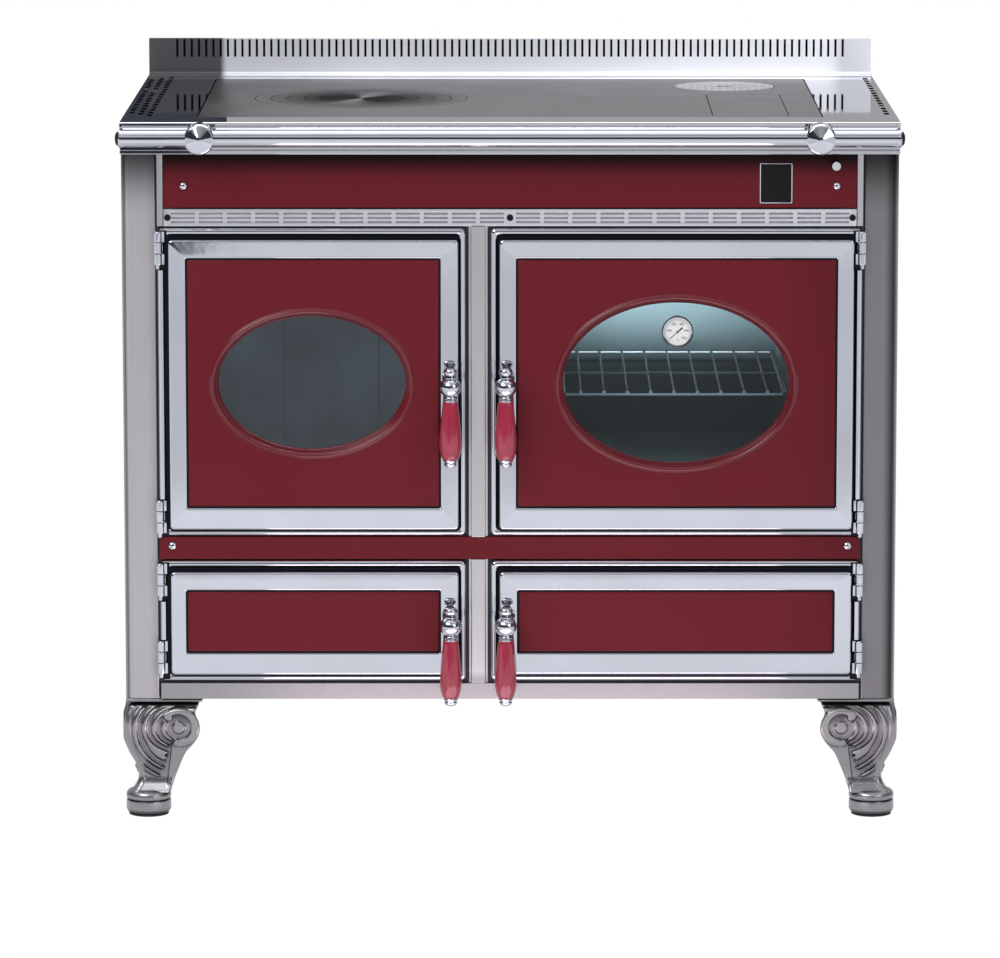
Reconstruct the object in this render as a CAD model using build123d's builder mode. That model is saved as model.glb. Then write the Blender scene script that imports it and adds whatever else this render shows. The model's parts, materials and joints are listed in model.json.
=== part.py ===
"""Free-standing wood cookstove: firebox and oven side by side under a cast hob, on four scroll legs.

Millimetres, +Z up, +X to the viewer's right, the doors face -Y.  The floor is z = 0, the stove is
centred on x = 0, and y = 0 lies halfway between its foremost and its rearmost point.
"""

import os
from math import atan2, cos, degrees, radians, sin

from build123d import *

os.makedirs("parts", exist_ok=True)

# ---------------------------------------------------------------- driving dimensions: the body
half_width = 500.0
body_depth = 625.0
leg_height = 158.0
worktop_height = 911.0
side_top = 869.0
sheet = 2.0
thin_sheet = 1.5
column_width = 45.0
column_radius = 12.0
column_return = 14.0
running_clearance = 0.05

# ---------------------------------------------------------------- front face
side_margin = 47.0
mullion_centre = -41.0
mullion_gap = 32.0
mullion_width = 18.0
mullion_proud = 7.0
mullion_flange = 3.5
plinth_strip_height = 21.0
lower_door_bottom = 183.0
lower_door_height = 158.0
middle_rail_bottom = 342.5
middle_rail_height = 29.2
middle_rail_proud = 5.0
upper_door_bottom = 373.7
upper_door_height = 399.8
grille_bottom = 776.0
grille_height = 22.0
fascia_bottom = 800.0
fascia_proud = 3.0
fascia_margin = 55.0
trim_width = 7.5
trim_proud = 4.0
grille_slot_length = 30.3
grille_slot_height = 2.6
grille_slot_pitch = 36.1
grille_slot_start = 8.0
grille_row_pitch = 5.5

# ---------------------------------------------------------------- doors
stile_border = 34.0
rail_border = 37.5
bead_width = 9.0
bead_height = 8.0
bead_rounding = 3.5
groove_width = 4.0
groove_height = 5.0
face_height = 15.5
face_chamfer = 1.0
door_back_gap = 1.5
door_corner = 8.0
ledge_width = 5.0
panel_thickness = 3.0
panel_gap = 1.0
panel_recess = 0.5
panel_chamfer = 1.5
frame_overlap = 12.0
plate_thickness = 6.0
glass_thickness = 4.0
glass_margin = 9.0
rim_width = 12.0
rim_height = 2.5
well_wall = 3.0
well_depth = 7.0
fire_glass_width = 241.0
fire_glass_height = 172.0
oven_glass_width = 291.0
oven_glass_height = 208.0
retainer_thickness = 2.0
retainer_overlap = 6.0
thermometer_radius = 20.6
thermometer_rise = 67.0
thermometer_thickness = 11.0
thermometer_stem_radius = 4.0
thermometer_stem = 18.0

# ---------------------------------------------------------------- hinges
pin_radius = 2.95
pin_inset = 0.5
pin_proud = 9.0
knuckle_radius = 5.5
door_knuckle_radius = 6.0
knuckle_length = 14.0
knuckle_gap = 0.5
hinge_inset = 25.0
low_hinge_inset = 31.0
notch_width = 18.0
notch_height = 16.0
notch_clearance = 1.0
lug_width = 9.0
pin_tail = 6.0

# ---------------------------------------------------------------- handles
handle_offset = 19.5
handle_standoff = 50.0
turned_flats = 16
ball_radius = 14.0
ball_half_height = 12.5
ball_band = 4.0
knob_radius = 9.0
knob_tip_radius = 3.0
knob_height = 13.0
neck_radius = 5.5
collar_radius = 8.8
collar_length = 6.0
grip_length = 76.0
grip_top_radius = 10.2
grip_shoulder_radius = 13.4
grip_max_radius = 14.7
grip_end_radius = 10.0
grip_bulge_drop = 43.0
cap_radius = 8.0
cap_length = 10.0
rod_radius = 3.0
spindle_radius = 6.0
rosette_radius = 10.0
rosette_thickness = 3.0
rosette_gap = 0.3
tongue_reach = 22.0
tongue_width = 12.0
tongue_thickness = 5.0
tongue_setback = 2.0

# ---------------------------------------------------------------- worktop, rail and splashback
worktop_depth = 640.0
nose_overhang = 15.0
nose_thickness = 8.0
apron_overhang = 7.0
hem_overhang = 10.0
hem_height = 6.0
vent_hole_length = 24.0
vent_hole_width = 6.5
vent_hole_pitch = 35.0
vent_row_centre = 343.0
# each row of vent holes as (side, distance in from the edge, holes)
vent_rows = ((-1, 8.5, 14), (-1, 21.0, 15), (-1, 33.5, 16), (1, 11.5, 15))
upstand_depth = 638.0
upstand_height = 51.0
upstand_foot = 16.0
upstand_return = 14.0
upstand_hem = 6.0
cove_radius = 5.0
comb_margin = 40.0
comb_pitch = 10.0
comb_slot_width = 3.2
comb_slot_depth = 25.0
rail_radius = 11.0
rail_wall = 2.0
rail_height = 893.0
rail_standoff = 45.0
rail_end_inset = 3.0
rail_cap_ring = 3.0
rail_cap_length = 7.0
bracket_inset = 104.0
bracket_half_width = 18.0
bracket_radius = 20.0
bracket_depth = 15.0
bracket_cone = 5.0
bracket_nose = 20.5
bracket_cone_radius = 17.5
bracket_taper = 60.0
bracket_neck_radius = 8.0

# ---------------------------------------------------------------- hob
hob_margin = 97.0
hob_front = 55.0
hob_depth = 531.0
hob_thickness = 10.0
hob_gap = 1.5
lid_thickness = 6.0
lip_width = 4.0
lid_gap = 0.7
lug_reach = 5.0
lug_length = 13.0
lug_breadth = 12.0
lug_angle = 30.0
ring_inset = 205.0
ring_depth = 311.0
ring_pitch = 21.5
disc_radius = 55.0
ring_count = 4
flue_inset = 112.0
flue_cap_depth = 481.0
flue_cap_radius = 68.0
cover_inset = 91.5
cover_depth = 220.5
cover_width = 97.5
cover_length = 281.0
lift_hole_radius = 4.0
lift_slot_length = 22.0

# ---------------------------------------------------------------- inside
firebox_right = mullion_centre - 5.0
oven_side_left = mullion_centre + 6.0
side_gap = 10.0
shell_wall = 4.0
shell_depth = 560.0
hearth_height = 384.0
brick_thickness = 28.0
brick_height = 216.0
brick_front = 60.0
brick_joint = 1.0
side_bricks = 3
grate_width = 300.0
grate_depth = 220.0
grate_thickness = 12.0
grate_ledge = 10.0
grate_front = 130.0
grate_slots = 9
grate_slot_width = 10.0
grate_slot_spacing = 31.0
mouth_top = 770.0
outlet_front = 130.0
outlet_back = 530.0
outlet_bottom = 745.0
oven_width = 300.0
oven_bottom = 432.0
oven_height = 280.0
oven_depth = 490.0
oven_mouth = 16.0
oven_wall = 2.0
skirt_margin = 5.5
runner_height = 541.0
runner_width = 7.0
rack_wire = 2.5
rack_rod = 3.0
rack_wires = 9
rack_pitch = 30.5
rack_front = 85.0
rack_length = 410.0
rack_gap = 3.0
rod_flats = 6
seat_gap = 0.3
store_top = 345.0
pan_height = 60.0
pan_front = 32.0
pan_depth = 420.0
pan_side_gap = 11.0
pan_mullion_gap = 46.0
pan_grip_drop = 22.0
pan_grip_width = 90.0
pan_grip_height = 16.0
pan_grip_proud = 12.0
duct_bottom = 735.0
duct_front = 60.0
duct_margin = 125.0
duct_wall = 3.0
spigot_radius = 60.0
spigot_wall = 3.0
spigot_height = 803.0
spigot_flange = 75.0
flange_thickness = 3.0
spigot_reach = 48.0
damper_depth = 585.0
damper_radius = 55.0
damper_thickness = 3.0
damper_shaft_radius = 4.0
damper_swing = 70.0
crank_radius = 52.0
crank_pin_radius = 2.5
crank_offset = 3.0
crank_thickness = 4.0
crank_pin_length = 8.0
pull_inset = 27.0
pull_rod_radius = 3.0
pull_knob_radius = 5.5
pull_knob_proud = 17.0
pull_knob_gap = 1.0
pull_slot_clearance = 1.0
pull_plate_border = 2.0
pull_plate_thickness = 3.0
guide_depth = 300.0
guide_margin = 6.0
guide_width = 8.0

# ---------------------------------------------------------------- legs
leg_plate = 100.0
leg_plate_thickness = 5.0
leg_wall = 11.0
knee_bulge = 2.0
calf_outer = 11.0
calf_height = 78.0
ankle_outer = 16.5
ankle_height = 57.0
volute_u = 72.0
volute_z = 120.0
volute_radius = 24.0
volute_rim = 5.0
volute_proud = 3.0
eye_radius = 10.5
foot_top = 35.0
# outline of a leg as (inwards, height): the outer face up from the foot, and the inner edge likewise
leg_outer = (
    (9.5, foot_top), (14.0, 43.0), (15.8, 52.0), (14.6, 62.0), (8.6, 78.0), (3.6, 92.0),
    (-0.6, 106.0), (-1.9, 120.0), (-0.6, 134.0), (4.0, 153.0),
)
leg_inner = (
    (58.0, foot_top), (64.6, 55.0), (73.0, 76.0), (78.0, 86.0), (85.0, 94.0), (91.2, 102.0),
    (95.0, 110.0), (96.3, 119.0), (94.6, 128.0), (90.6, 140.0), (96.0, 153.0),
)
foot_inset = 27.5
foot_radius = 29.5
foot_groove = 3.0
foot_turning = (
    (3.0, 8.0, foot_radius - foot_groove),
    (8.0, 21.0, foot_radius),
    (21.0, 25.0, foot_radius - 2 * foot_groove),
    (25.0, foot_top, foot_radius - foot_groove),
)
pad_height = 3.0
pad_radius = 26.0

# y = 0 is halfway between the nose of the rail brackets and the end of the flue spigot
front_reach = rail_standoff + bracket_nose
rear_reach = body_depth + spigot_reach
front = -(rear_reach - front_reach) / 2
back = front + body_depth

# derived sizes that several pieces share
door_edge = half_width - side_margin
fascia_half_width = half_width - fascia_margin
hob_half_width = half_width - hob_margin
rail_half_length = half_width - rail_end_inset
bracket_x = half_width - bracket_inset
ring_x = ring_inset - hob_half_width
flue_x = hob_half_width - flue_inset
cover_x = hob_half_width - cover_inset
duct_right = half_width - duct_margin
pull_x = fascia_half_width - pull_inset
crank_x = pull_x + crank_offset
box_bottom = lower_door_bottom + frame_overlap - thin_sheet
hob_bottom = worktop_height - hob_thickness
deck_underside = worktop_height - sheet
spigot_x = flue_x
pull_height = spigot_height + crank_radius
crank_swing = damper_swing / 2


# ---------------------------------------------------------------- helpers
def front_plane(proud=0.0):
    """A sketch plane parallel to the doors, proud millimetres in front of the front plane."""
    return Plane.XZ.offset(proud - front)


def block(x_low, x_high, y_low, y_high, z_low, z_high, mode=Mode.ADD):
    """A box between two corners, in the builder that is open."""
    centre = ((x_low + x_high) / 2, (y_low + y_high) / 2, (z_low + z_high) / 2)
    with Locations(centre):
        Box(x_high - x_low, y_high - y_low, z_high - z_low, mode=mode)


def plate(x_low, x_high, y_low, y_high, z_low, z_high):
    """A flat plate or bar as a solid of its own, to be welded to others in one piece."""
    with BuildPart() as one_plate:
        block(x_low, x_high, y_low, y_high, z_low, z_high)
    return one_plate.part.solid()


def save(name, part):
    """Label a finished piece and write it to its own file."""
    part.label = name
    export_step(part, f"parts/{name}.step")


class Opening:
    """The outline of one door on the front face, and which side its hinges are on."""

    def __init__(self, name, x_low, x_high, z_low, height, hinge_side, hinge_heights):
        self.name = name
        self.x_low = x_low
        self.x_high = x_high
        self.z_low = z_low
        self.z_high = z_low + height
        self.width = x_high - x_low
        self.height = height
        self.centre = ((x_low + x_high) / 2, z_low + height / 2)
        self.hinge_side = hinge_side
        self.hinge_heights = hinge_heights
        edge = x_low if hinge_side < 0 else x_high
        free_edge = x_high if hinge_side < 0 else x_low
        self.pin_x = edge - hinge_side * pin_inset
        self.handle_x = free_edge + hinge_side * handle_offset
        self.handle_z = self.centre[1]


mullion_left = mullion_centre - mullion_gap / 2
mullion_right = mullion_centre + mullion_gap / 2
upper_top = upper_door_bottom + upper_door_height
lower_top = lower_door_bottom + lower_door_height
upper_hinges = (upper_door_bottom + hinge_inset, upper_top - hinge_inset)
lower_hinges = (lower_door_bottom + low_hinge_inset, lower_top - hinge_inset)

fire = Opening("fire", -door_edge, mullion_left, upper_door_bottom, upper_door_height, -1, upper_hinges)
oven = Opening("oven", mullion_right, door_edge, upper_door_bottom, upper_door_height, 1, upper_hinges)
ash = Opening("ash", -door_edge, mullion_left, lower_door_bottom, lower_door_height, -1, lower_hinges)
store = Opening("store", mullion_right, door_edge, lower_door_bottom, lower_door_height, 1, lower_hinges)
doors = (fire, oven, ash, store)


# ---------------------------------------------------------------- cabinet
with BuildPart() as base_frame:
    with BuildSketch(Plane.XY.offset(leg_height)):
        with Locations((0, (front + back) / 2)):
            RectangleRounded(2 * (half_width - sheet), body_depth - 2 * sheet, column_radius - sheet)
    extrude(amount=plinth_strip_height - sheet)
    block(
        -half_width + column_width, half_width - column_width,
        front + 2 * sheet, back - 2 * sheet,
        leg_height + sheet, leg_height + plinth_strip_height, Mode.SUBTRACT,
    )
    # notches for the inner folds of the two columns
    for side in (-1, 1):
        fold_x = side * (half_width - column_width + sheet / 2)
        block(
            fold_x - sheet, fold_x + sheet, front, front + column_return + sheet,
            leg_height, leg_height + plinth_strip_height, Mode.SUBTRACT,
        )
save("base_frame", base_frame.part)

for side, name in ((-1, "side_panel_left"), (1, "side_panel_right")):
    inset = sheet / 2
    wall_x = side * (half_width - inset)
    column_x = side * (half_width - column_width + inset)
    with BuildPart() as side_panel:
        with BuildSketch(Plane.XY.offset(leg_height)):
            with BuildLine():
                FilletPolyline(
                    (column_x, front + column_return),
                    (column_x, front + inset),
                    (wall_x, front + inset),
                    (wall_x, back - inset),
                    (wall_x - side * column_return, back - inset),
                    radius=(sheet, column_radius - inset, sheet),
                )
            trace(line_width=sheet)
        extrude(amount=side_top - leg_height)
    save(name, side_panel.part)

with BuildPart() as back_panel:
    block(
        -half_width + 1.5 * sheet, half_width - 1.5 * sheet, back - 2 * sheet, back - sheet,
        leg_height + plinth_strip_height, side_top,
    )
    with BuildSketch(Plane.XZ.offset(-back)):
        with Locations((spigot_x, spigot_height)):
            Circle(spigot_radius + hob_gap)
        with Locations((-spigot_x, spigot_height)):
            with GridLocations(36, 18, 6, 3):
                Rectangle(26, 6)
    extrude(amount=3 * sheet, mode=Mode.SUBTRACT)
save("back_panel", back_panel.part)

# the front frame is welded from flat bars: stiles, rails between them and a centre stile
frame_edge = half_width - column_width
stile_edge = door_edge - frame_overlap
centre_left = mullion_left - frame_overlap
centre_right = mullion_right + frame_overlap
frame_bottom = leg_height + plinth_strip_height
window_edge = fascia_half_width - 2 * side_gap
window_low = grille_bottom + side_gap
window_high = side_top - trim_width
rail_heights = (
    (frame_bottom, lower_door_bottom + frame_overlap),
    (lower_top - frame_overlap, upper_door_bottom + frame_overlap),
    (upper_top - frame_overlap, window_low),
    (window_high, side_top),
)
bars = [(side * stile_edge, side * frame_edge, frame_bottom, side_top) for side in (-1, 1)]
bars += [(-stile_edge, stile_edge, low, high) for low, high in rail_heights]
bars += [(centre_left, centre_right, rail_heights[i][1], rail_heights[i + 1][0]) for i in (0, 1)]
bars += [(side * window_edge, side * stile_edge, window_low, window_high) for side in (-1, 1)]
front_bars = [
    plate(min(left, right), max(left, right), front, front + plate_thickness, low, high)
    for left, right, low, high in bars
]
front_frame = Compound(children=front_bars)
save("front_frame", front_frame)

# corner trims beside the grille and the fascia, and the strip over the legs
trims = []
for side in (-1, 1):
    trim_ends = sorted((side * (fascia_half_width + 1), side * (fascia_half_width + 1 + trim_width)))
    trims.append(plate(*trim_ends, front - trim_proud, front, grille_bottom, side_top))
trims.append(plate(-door_edge, door_edge, front - trim_proud, front, leg_height, frame_bottom))
# the mullion is a hat section, in two lengths that stop at the middle rail
mullion_runs = ((frame_bottom, middle_rail_bottom), (middle_rail_bottom + middle_rail_height, grille_bottom))
for low, high in mullion_runs:
    with BuildPart() as mullion:
        with BuildSketch(Plane.XY.offset(low)):
            with Locations((mullion_centre, front - mullion_proud / 2)):
                Rectangle(mullion_width, mullion_proud)
            with Locations((mullion_centre, front - thin_sheet / 2)):
                Rectangle(mullion_width + 2 * mullion_flange, thin_sheet)
            with Locations((mullion_centre, front - (mullion_proud - thin_sheet) / 2)):
                Rectangle(mullion_width - 2 * thin_sheet, mullion_proud - thin_sheet, mode=Mode.SUBTRACT)
        extrude(amount=high - low)
    trims.append(mullion.part.solid())
front_trims = Compound(children=trims)
save("front_trims", front_trims)


def folded_tray(x_half, z_low, height, proud):
    """A sheet panel whose four edges are folded back to the front plane, open behind."""
    with BuildPart() as tray:
        with BuildSketch(front_plane()):
            with Locations((0, z_low + height / 2)):
                Rectangle(2 * x_half, height)
        extrude(amount=proud)
        with BuildSketch(front_plane()):
            with Locations((0, z_low + height / 2)):
                Rectangle(2 * (x_half - thin_sheet), height - 2 * thin_sheet)
        extrude(amount=proud - thin_sheet, mode=Mode.SUBTRACT)
    return tray.part


fascia_tray = folded_tray(fascia_half_width, fascia_bottom, side_top - fascia_bottom, fascia_proud)
rail_tray = folded_tray(door_edge, middle_rail_bottom, middle_rail_height, middle_rail_proud)
grille_tray = folded_tray(fascia_half_width, grille_bottom, grille_height, fascia_proud)
save("middle_rail", rail_tray)

with BuildPart() as fascia_panel:
    add(fascia_tray)
    with BuildSketch(front_plane()):
        with Locations((pull_x, pull_height)):
            Circle(pull_rod_radius + running_clearance)
    extrude(amount=fascia_proud, mode=Mode.SUBTRACT)
save("fascia_panel", fascia_panel.part)

grille_columns = int((fascia_half_width - grille_slot_start) / grille_slot_pitch)
with BuildPart() as vent_grille:
    add(grille_tray)
    with BuildSketch(front_plane()):
        for side in (-1, 1):
            run = grille_slot_start + (grille_columns - 1) * grille_slot_pitch / 2 + grille_slot_length / 2
            with Locations((side * run, grille_bottom + grille_height / 2)):
                with GridLocations(grille_slot_pitch, grille_row_pitch, grille_columns, 3):
                    Rectangle(grille_slot_length, grille_slot_height)
    extrude(amount=fascia_proud, mode=Mode.SUBTRACT)
save("vent_grille", vent_grille.part)

# ---------------------------------------------------------------- worktop
with BuildPart() as worktop:
    block(
        -half_width, half_width, front - apron_overhang, front + worktop_depth,
        side_top, worktop_height,
    )
    block(
        -half_width + sheet, half_width - sheet, front - apron_overhang + sheet,
        front + worktop_depth - sheet, side_top, deck_underside, Mode.SUBTRACT,
    )
    # rolled nose along the front edge and the hem along the foot of the apron
    with BuildSketch(Plane.YZ.offset(-half_width)):
        with Locations((front - nose_overhang + nose_thickness / 2, worktop_height - nose_thickness / 2)):
            RectangleRounded(nose_thickness, nose_thickness, nose_thickness * 0.3)
        with Locations((front - nose_overhang + nose_thickness, worktop_height - nose_thickness / 2)):
            Rectangle(nose_thickness, nose_thickness)
    extrude(amount=2 * half_width)
    with BuildSketch(Plane.YZ.offset(-half_width)):
        with Locations((front - (apron_overhang + hem_overhang) / 2 + sheet / 2, side_top + hem_height / 2)):
            RectangleRounded(hem_overhang - apron_overhang + sheet, hem_height, sheet * 0.7)
    extrude(amount=2 * half_width)
    # hob cut-out
    with BuildSketch(Plane.XY.offset(worktop_height)):
        with Locations((0, front + hob_front + hob_depth / 2)):
            Rectangle(2 * (hob_half_width + hob_gap), hob_depth + 2 * hob_gap)
        for side, row_inset, holes in vent_rows:
            with Locations((side * (half_width - row_inset), front + vent_row_centre)):
                with GridLocations(1, vent_hole_pitch, 1, holes):
                    Rectangle(vent_hole_width, vent_hole_length)
    extrude(amount=-2 * sheet, mode=Mode.SUBTRACT)
save("worktop", worktop.part)

comb_slots = 2 * int((half_width - comb_margin) / comb_pitch) + 1
with BuildPart() as splashback:
    upstand_top = worktop_height + upstand_height
    face_y = front + upstand_depth
    with BuildSketch(Plane.YZ.offset(-half_width + 1)):
        with BuildLine():
            Polyline(
                (face_y - upstand_foot, worktop_height),
                (face_y + upstand_return, worktop_height),
                (face_y + upstand_return, upstand_top),
                (face_y, upstand_top),
                (face_y, worktop_height + cove_radius),
                (face_y - cove_radius, worktop_height + thin_sheet),
                (face_y - upstand_foot, worktop_height + thin_sheet),
                (face_y - upstand_foot, worktop_height),
            )
        make_face()
        # the sheet is hollow behind the face and under the folded top
        with BuildLine():
            Polyline(
                (face_y + thin_sheet, worktop_height),
                (face_y + upstand_return, worktop_height),
                (face_y + upstand_return, upstand_top - upstand_hem),
                (face_y + upstand_return - thin_sheet, upstand_top - upstand_hem),
                (face_y + upstand_return - thin_sheet, upstand_top - thin_sheet),
                (face_y + thin_sheet, upstand_top - thin_sheet),
                (face_y + thin_sheet, worktop_height),
            )
        make_face(mode=Mode.SUBTRACT)
    extrude(amount=2 * half_width - 2)
    with BuildSketch(Plane.XZ.offset(-(face_y - thin_sheet))):
        with Locations((0, upstand_top)):
            with GridLocations(comb_pitch, 1, comb_slots, 1):
                Rectangle(comb_slot_width, 2 * comb_slot_depth)
    extrude(amount=-upstand_return * 0.7, mode=Mode.SUBTRACT)
save("splashback", splashback.part)

rail_y = front - rail_standoff
with BuildPart() as hand_rail:
    with BuildSketch(Plane.YZ.offset(-rail_half_length)):
        with Locations((rail_y, rail_height)):
            Circle(rail_radius)
            Circle(rail_radius - rail_wall, mode=Mode.SUBTRACT)
    extrude(amount=2 * rail_half_length)
save("hand_rail", hand_rail.part)


def rail_bracket(x):
    """A knob with flat cheeks and a coned nose on a neck, bored for the rail."""
    with BuildPart() as bracket:
        with BuildSketch(Plane.XZ.offset(-(rail_y + bracket_depth))):
            with Locations((x, rail_height)):
                RegularPolygon(bracket_radius, 2 * turned_flats)
                Rectangle(2 * bracket_half_width, 2 * bracket_radius, mode=Mode.INTERSECT)
        extrude(amount=bracket_depth + bracket_nose - bracket_cone)
        with BuildSketch(Plane.XZ.offset(-(rail_y - bracket_nose + bracket_cone))):
            with Locations((x, rail_height)):
                RegularPolygon(bracket_cone_radius, 2 * turned_flats)
        extrude(amount=bracket_cone, taper=bracket_taper)
        with BuildSketch(Plane.XZ.offset(-(front - apron_overhang))):
            with Locations((x, rail_height)):
                Circle(bracket_neck_radius)
        extrude(amount=rail_standoff - apron_overhang - bracket_depth)
        with BuildSketch(Plane.YZ.offset(x - half_width)):
            with Locations((rail_y, rail_height)):
                Circle(rail_radius + running_clearance)
        extrude(amount=2 * half_width, mode=Mode.SUBTRACT)
    return bracket.part


def rail_cap(side):
    """A ring on the end of the rail with a domed plug."""
    end = side * rail_half_length
    with BuildPart() as cap:
        with BuildSketch(Plane(origin=(0, rail_y, rail_height), x_dir=(1, 0, 0), z_dir=(0, -1, 0))):
            with BuildLine():
                Polyline(
                    (end, 0),
                    (end, rail_radius),
                    (end + side * rail_cap_ring, rail_radius),
                    (end + side * rail_cap_length * 0.8, rail_radius * 0.65),
                    (end + side * rail_cap_length, 0),
                    (end, 0),
                )
            make_face()
        revolve(axis=Axis((0, rail_y, rail_height), (1, 0, 0)))
    return cap.part


fittings = [rail_bracket(side * bracket_x) for side in (-1, 1)]
fittings += [rail_cap(side) for side in (-1, 1)]
with BuildPart() as rail_fittings:
    add(fittings)
save("rail_fittings", rail_fittings.part)

# ---------------------------------------------------------------- hob
ring_centre = (ring_x, front + ring_depth)
ring_radii = [disc_radius + ring_pitch * step for step in range(ring_count, -1, -1)]
lid_bottom = worktop_height - lid_thickness
cover_centre = (cover_x, front + cover_depth)
flue_centre = (flue_x, front + flue_cap_depth)


def lid_lugs(centre, radius):
    """Three cast lugs that reach in under the edge of a round lid, in the builder that is open."""
    with BuildSketch(Plane.XY.offset(hob_bottom)) as lugs:
        with Locations(centre):
            with PolarLocations(radius - lug_reach + lug_length / 2, 3, start_angle=lug_angle):
                Rectangle(lug_length, lug_breadth)
    return extrude(lugs.sketch, amount=lid_bottom - hob_bottom, mode=Mode.PRIVATE)


with BuildPart() as hob_plate:
    with BuildSketch(Plane.XY.offset(hob_bottom)):
        with Locations((0, front + hob_front + hob_depth / 2)):
            Rectangle(2 * hob_half_width, hob_depth)
        with Locations(ring_centre):
            Circle(ring_radii[0] + lid_gap, mode=Mode.SUBTRACT)
        with Locations(flue_centre):
            Circle(flue_cap_radius + lid_gap, mode=Mode.SUBTRACT)
        with Locations(cover_centre):
            Rectangle(cover_width - 2 * lip_width, cover_length - 2 * lip_width, mode=Mode.SUBTRACT)
    extrude(amount=hob_thickness)
    with BuildSketch(Plane.XY.offset(lid_bottom)):
        with Locations(cover_centre):
            Rectangle(cover_width + 2 * lid_gap, cover_length + 2 * lid_gap)
    extrude(amount=lid_thickness, mode=Mode.SUBTRACT)
    add(lid_lugs(ring_centre, ring_radii[0]))
    add(lid_lugs(flue_centre, flue_cap_radius))
save("hob_plate", hob_plate.part)

for index in range(ring_count):
    with BuildPart() as hob_ring:
        with BuildSketch(Plane.XY.offset(lid_bottom)):
            with Locations(ring_centre):
                Circle(ring_radii[index])
                Circle(ring_radii[index + 1] + lid_gap, mode=Mode.SUBTRACT)
        extrude(amount=lid_thickness)
        add(lid_lugs(ring_centre, ring_radii[index + 1]))
    save(f"hob_ring_{index + 1}", hob_ring.part)

with BuildPart() as hob_centre:
    with BuildSketch(Plane.XY.offset(lid_bottom)):
        with Locations(ring_centre):
            Circle(disc_radius)
            Circle(lift_hole_radius, mode=Mode.SUBTRACT)
    extrude(amount=lid_thickness)
save("hob_centre", hob_centre.part)

with BuildPart() as flue_cap:
    with BuildSketch(Plane.XY.offset(lid_bottom)):
        with Locations(flue_centre):
            Circle(flue_cap_radius)
            Rectangle(lift_slot_length, 2 * lift_hole_radius, mode=Mode.SUBTRACT)
    extrude(amount=lid_thickness)
save("flue_cap", flue_cap.part)

with BuildPart() as soot_cover:
    with BuildSketch(Plane.XY.offset(lid_bottom)):
        with Locations(cover_centre):
            Rectangle(cover_width, cover_length)
    extrude(amount=lid_thickness)
save("soot_cover", soot_cover.part)


# ---------------------------------------------------------------- doors
def door_frame(door):
    """The chromed casting of one door: beaded edge, groove, raised face and a ledge for the panel."""
    panel_width = door.width - 2 * stile_border
    panel_height = door.height - 2 * rail_border
    face_inset = bead_width + groove_width
    with BuildPart() as frame:
        with BuildSketch(front_plane(door_back_gap)):
            with Locations(door.centre):
                RectangleRounded(door.width, door.height, door_corner)
        extrude(amount=bead_height)
        chamfer(frame.faces().sort_by(Axis.Y)[0].edges(), length=bead_rounding)
        with BuildSketch(front_plane(door_back_gap + groove_height)):
            with Locations(door.centre):
                Rectangle(door.width - 2 * bead_width, door.height - 2 * bead_width)
        extrude(amount=bead_height, mode=Mode.SUBTRACT)
        with BuildSketch(front_plane(door_back_gap + groove_height)):
            with Locations(door.centre):
                Rectangle(door.width - 2 * face_inset, door.height - 2 * face_inset)
        extrude(amount=face_height - groove_height)
        chamfer(frame.faces().sort_by(Axis.Y)[0].edges(), length=face_chamfer)
        # opening for the panel, and a smaller one behind it that leaves the ledge
        with BuildSketch(front_plane(door_back_gap + panel_seat)):
            with Locations(door.centre):
                Rectangle(panel_width, panel_height)
        extrude(amount=face_height, mode=Mode.SUBTRACT)
        with BuildSketch(front_plane()):
            with Locations(door.centre):
                Rectangle(panel_width - 2 * ledge_width, panel_height - 2 * ledge_width)
        extrude(amount=face_height + door_back_gap, mode=Mode.SUBTRACT)
        # the middle knuckle of each hinge, and notches for the fixed ones above and below it
        for hinge_z in door.hinge_heights:
            notch_x = door.pin_x + door.hinge_side * (knuckle_radius + notch_clearance - notch_width / 2)
            notch_low = hinge_z - knuckle_length / 2 - notch_height - pin_tail
            notch_high = hinge_z + knuckle_length / 2 + notch_height
            with BuildSketch(front_plane()):
                with Locations((notch_x, (notch_low + notch_high) / 2)):
                    Rectangle(notch_width, notch_high - notch_low)
                with Locations((notch_x, hinge_z)):
                    Rectangle(notch_width, knuckle_length, mode=Mode.SUBTRACT)
            extrude(amount=pin_proud + knuckle_radius + notch_clearance, mode=Mode.SUBTRACT)
            with BuildSketch(Plane.XY.offset(hinge_z - knuckle_length / 2)):
                with Locations((door.pin_x, front - pin_proud)):
                    RegularPolygon(door_knuckle_radius, turned_flats)
            extrude(amount=knuckle_length)
            with BuildSketch(Plane.XY.offset(hinge_z - knuckle_length / 2)):
                with Locations((door.pin_x, front - pin_proud)):
                    Circle(pin_radius + running_clearance)
            extrude(amount=knuckle_length, mode=Mode.SUBTRACT)
        # bore for the handle's spindle
        with BuildSketch(front_plane()):
            with Locations((door.handle_x, door.handle_z)):
                Circle(spindle_radius + running_clearance)
        extrude(amount=face_height + door_back_gap, mode=Mode.SUBTRACT)
    return frame.part


panel_seat = face_height - panel_recess - panel_thickness
panel_back = door_back_gap + panel_seat
panel_front = panel_back + panel_thickness

for door in doors:
    save(f"{door.name}_door_frame", door_frame(door))

for door in (ash, store):
    with BuildPart() as plain_panel:
        with BuildSketch(front_plane(panel_back)):
            with Locations(door.centre):
                Rectangle(
                    door.width - 2 * (stile_border + panel_gap),
                    door.height - 2 * (rail_border + panel_gap),
                )
        extrude(amount=panel_thickness)
        chamfer(plain_panel.faces().sort_by(Axis.Y)[0].edges(), length=panel_chamfer)
    save(f"{door.name}_door_panel", plain_panel.part)


window_sizes = {fire: (fire_glass_width, fire_glass_height), oven: (oven_glass_width, oven_glass_height)}
glass_front = panel_back - well_depth
glass_back = glass_front - glass_thickness


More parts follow.
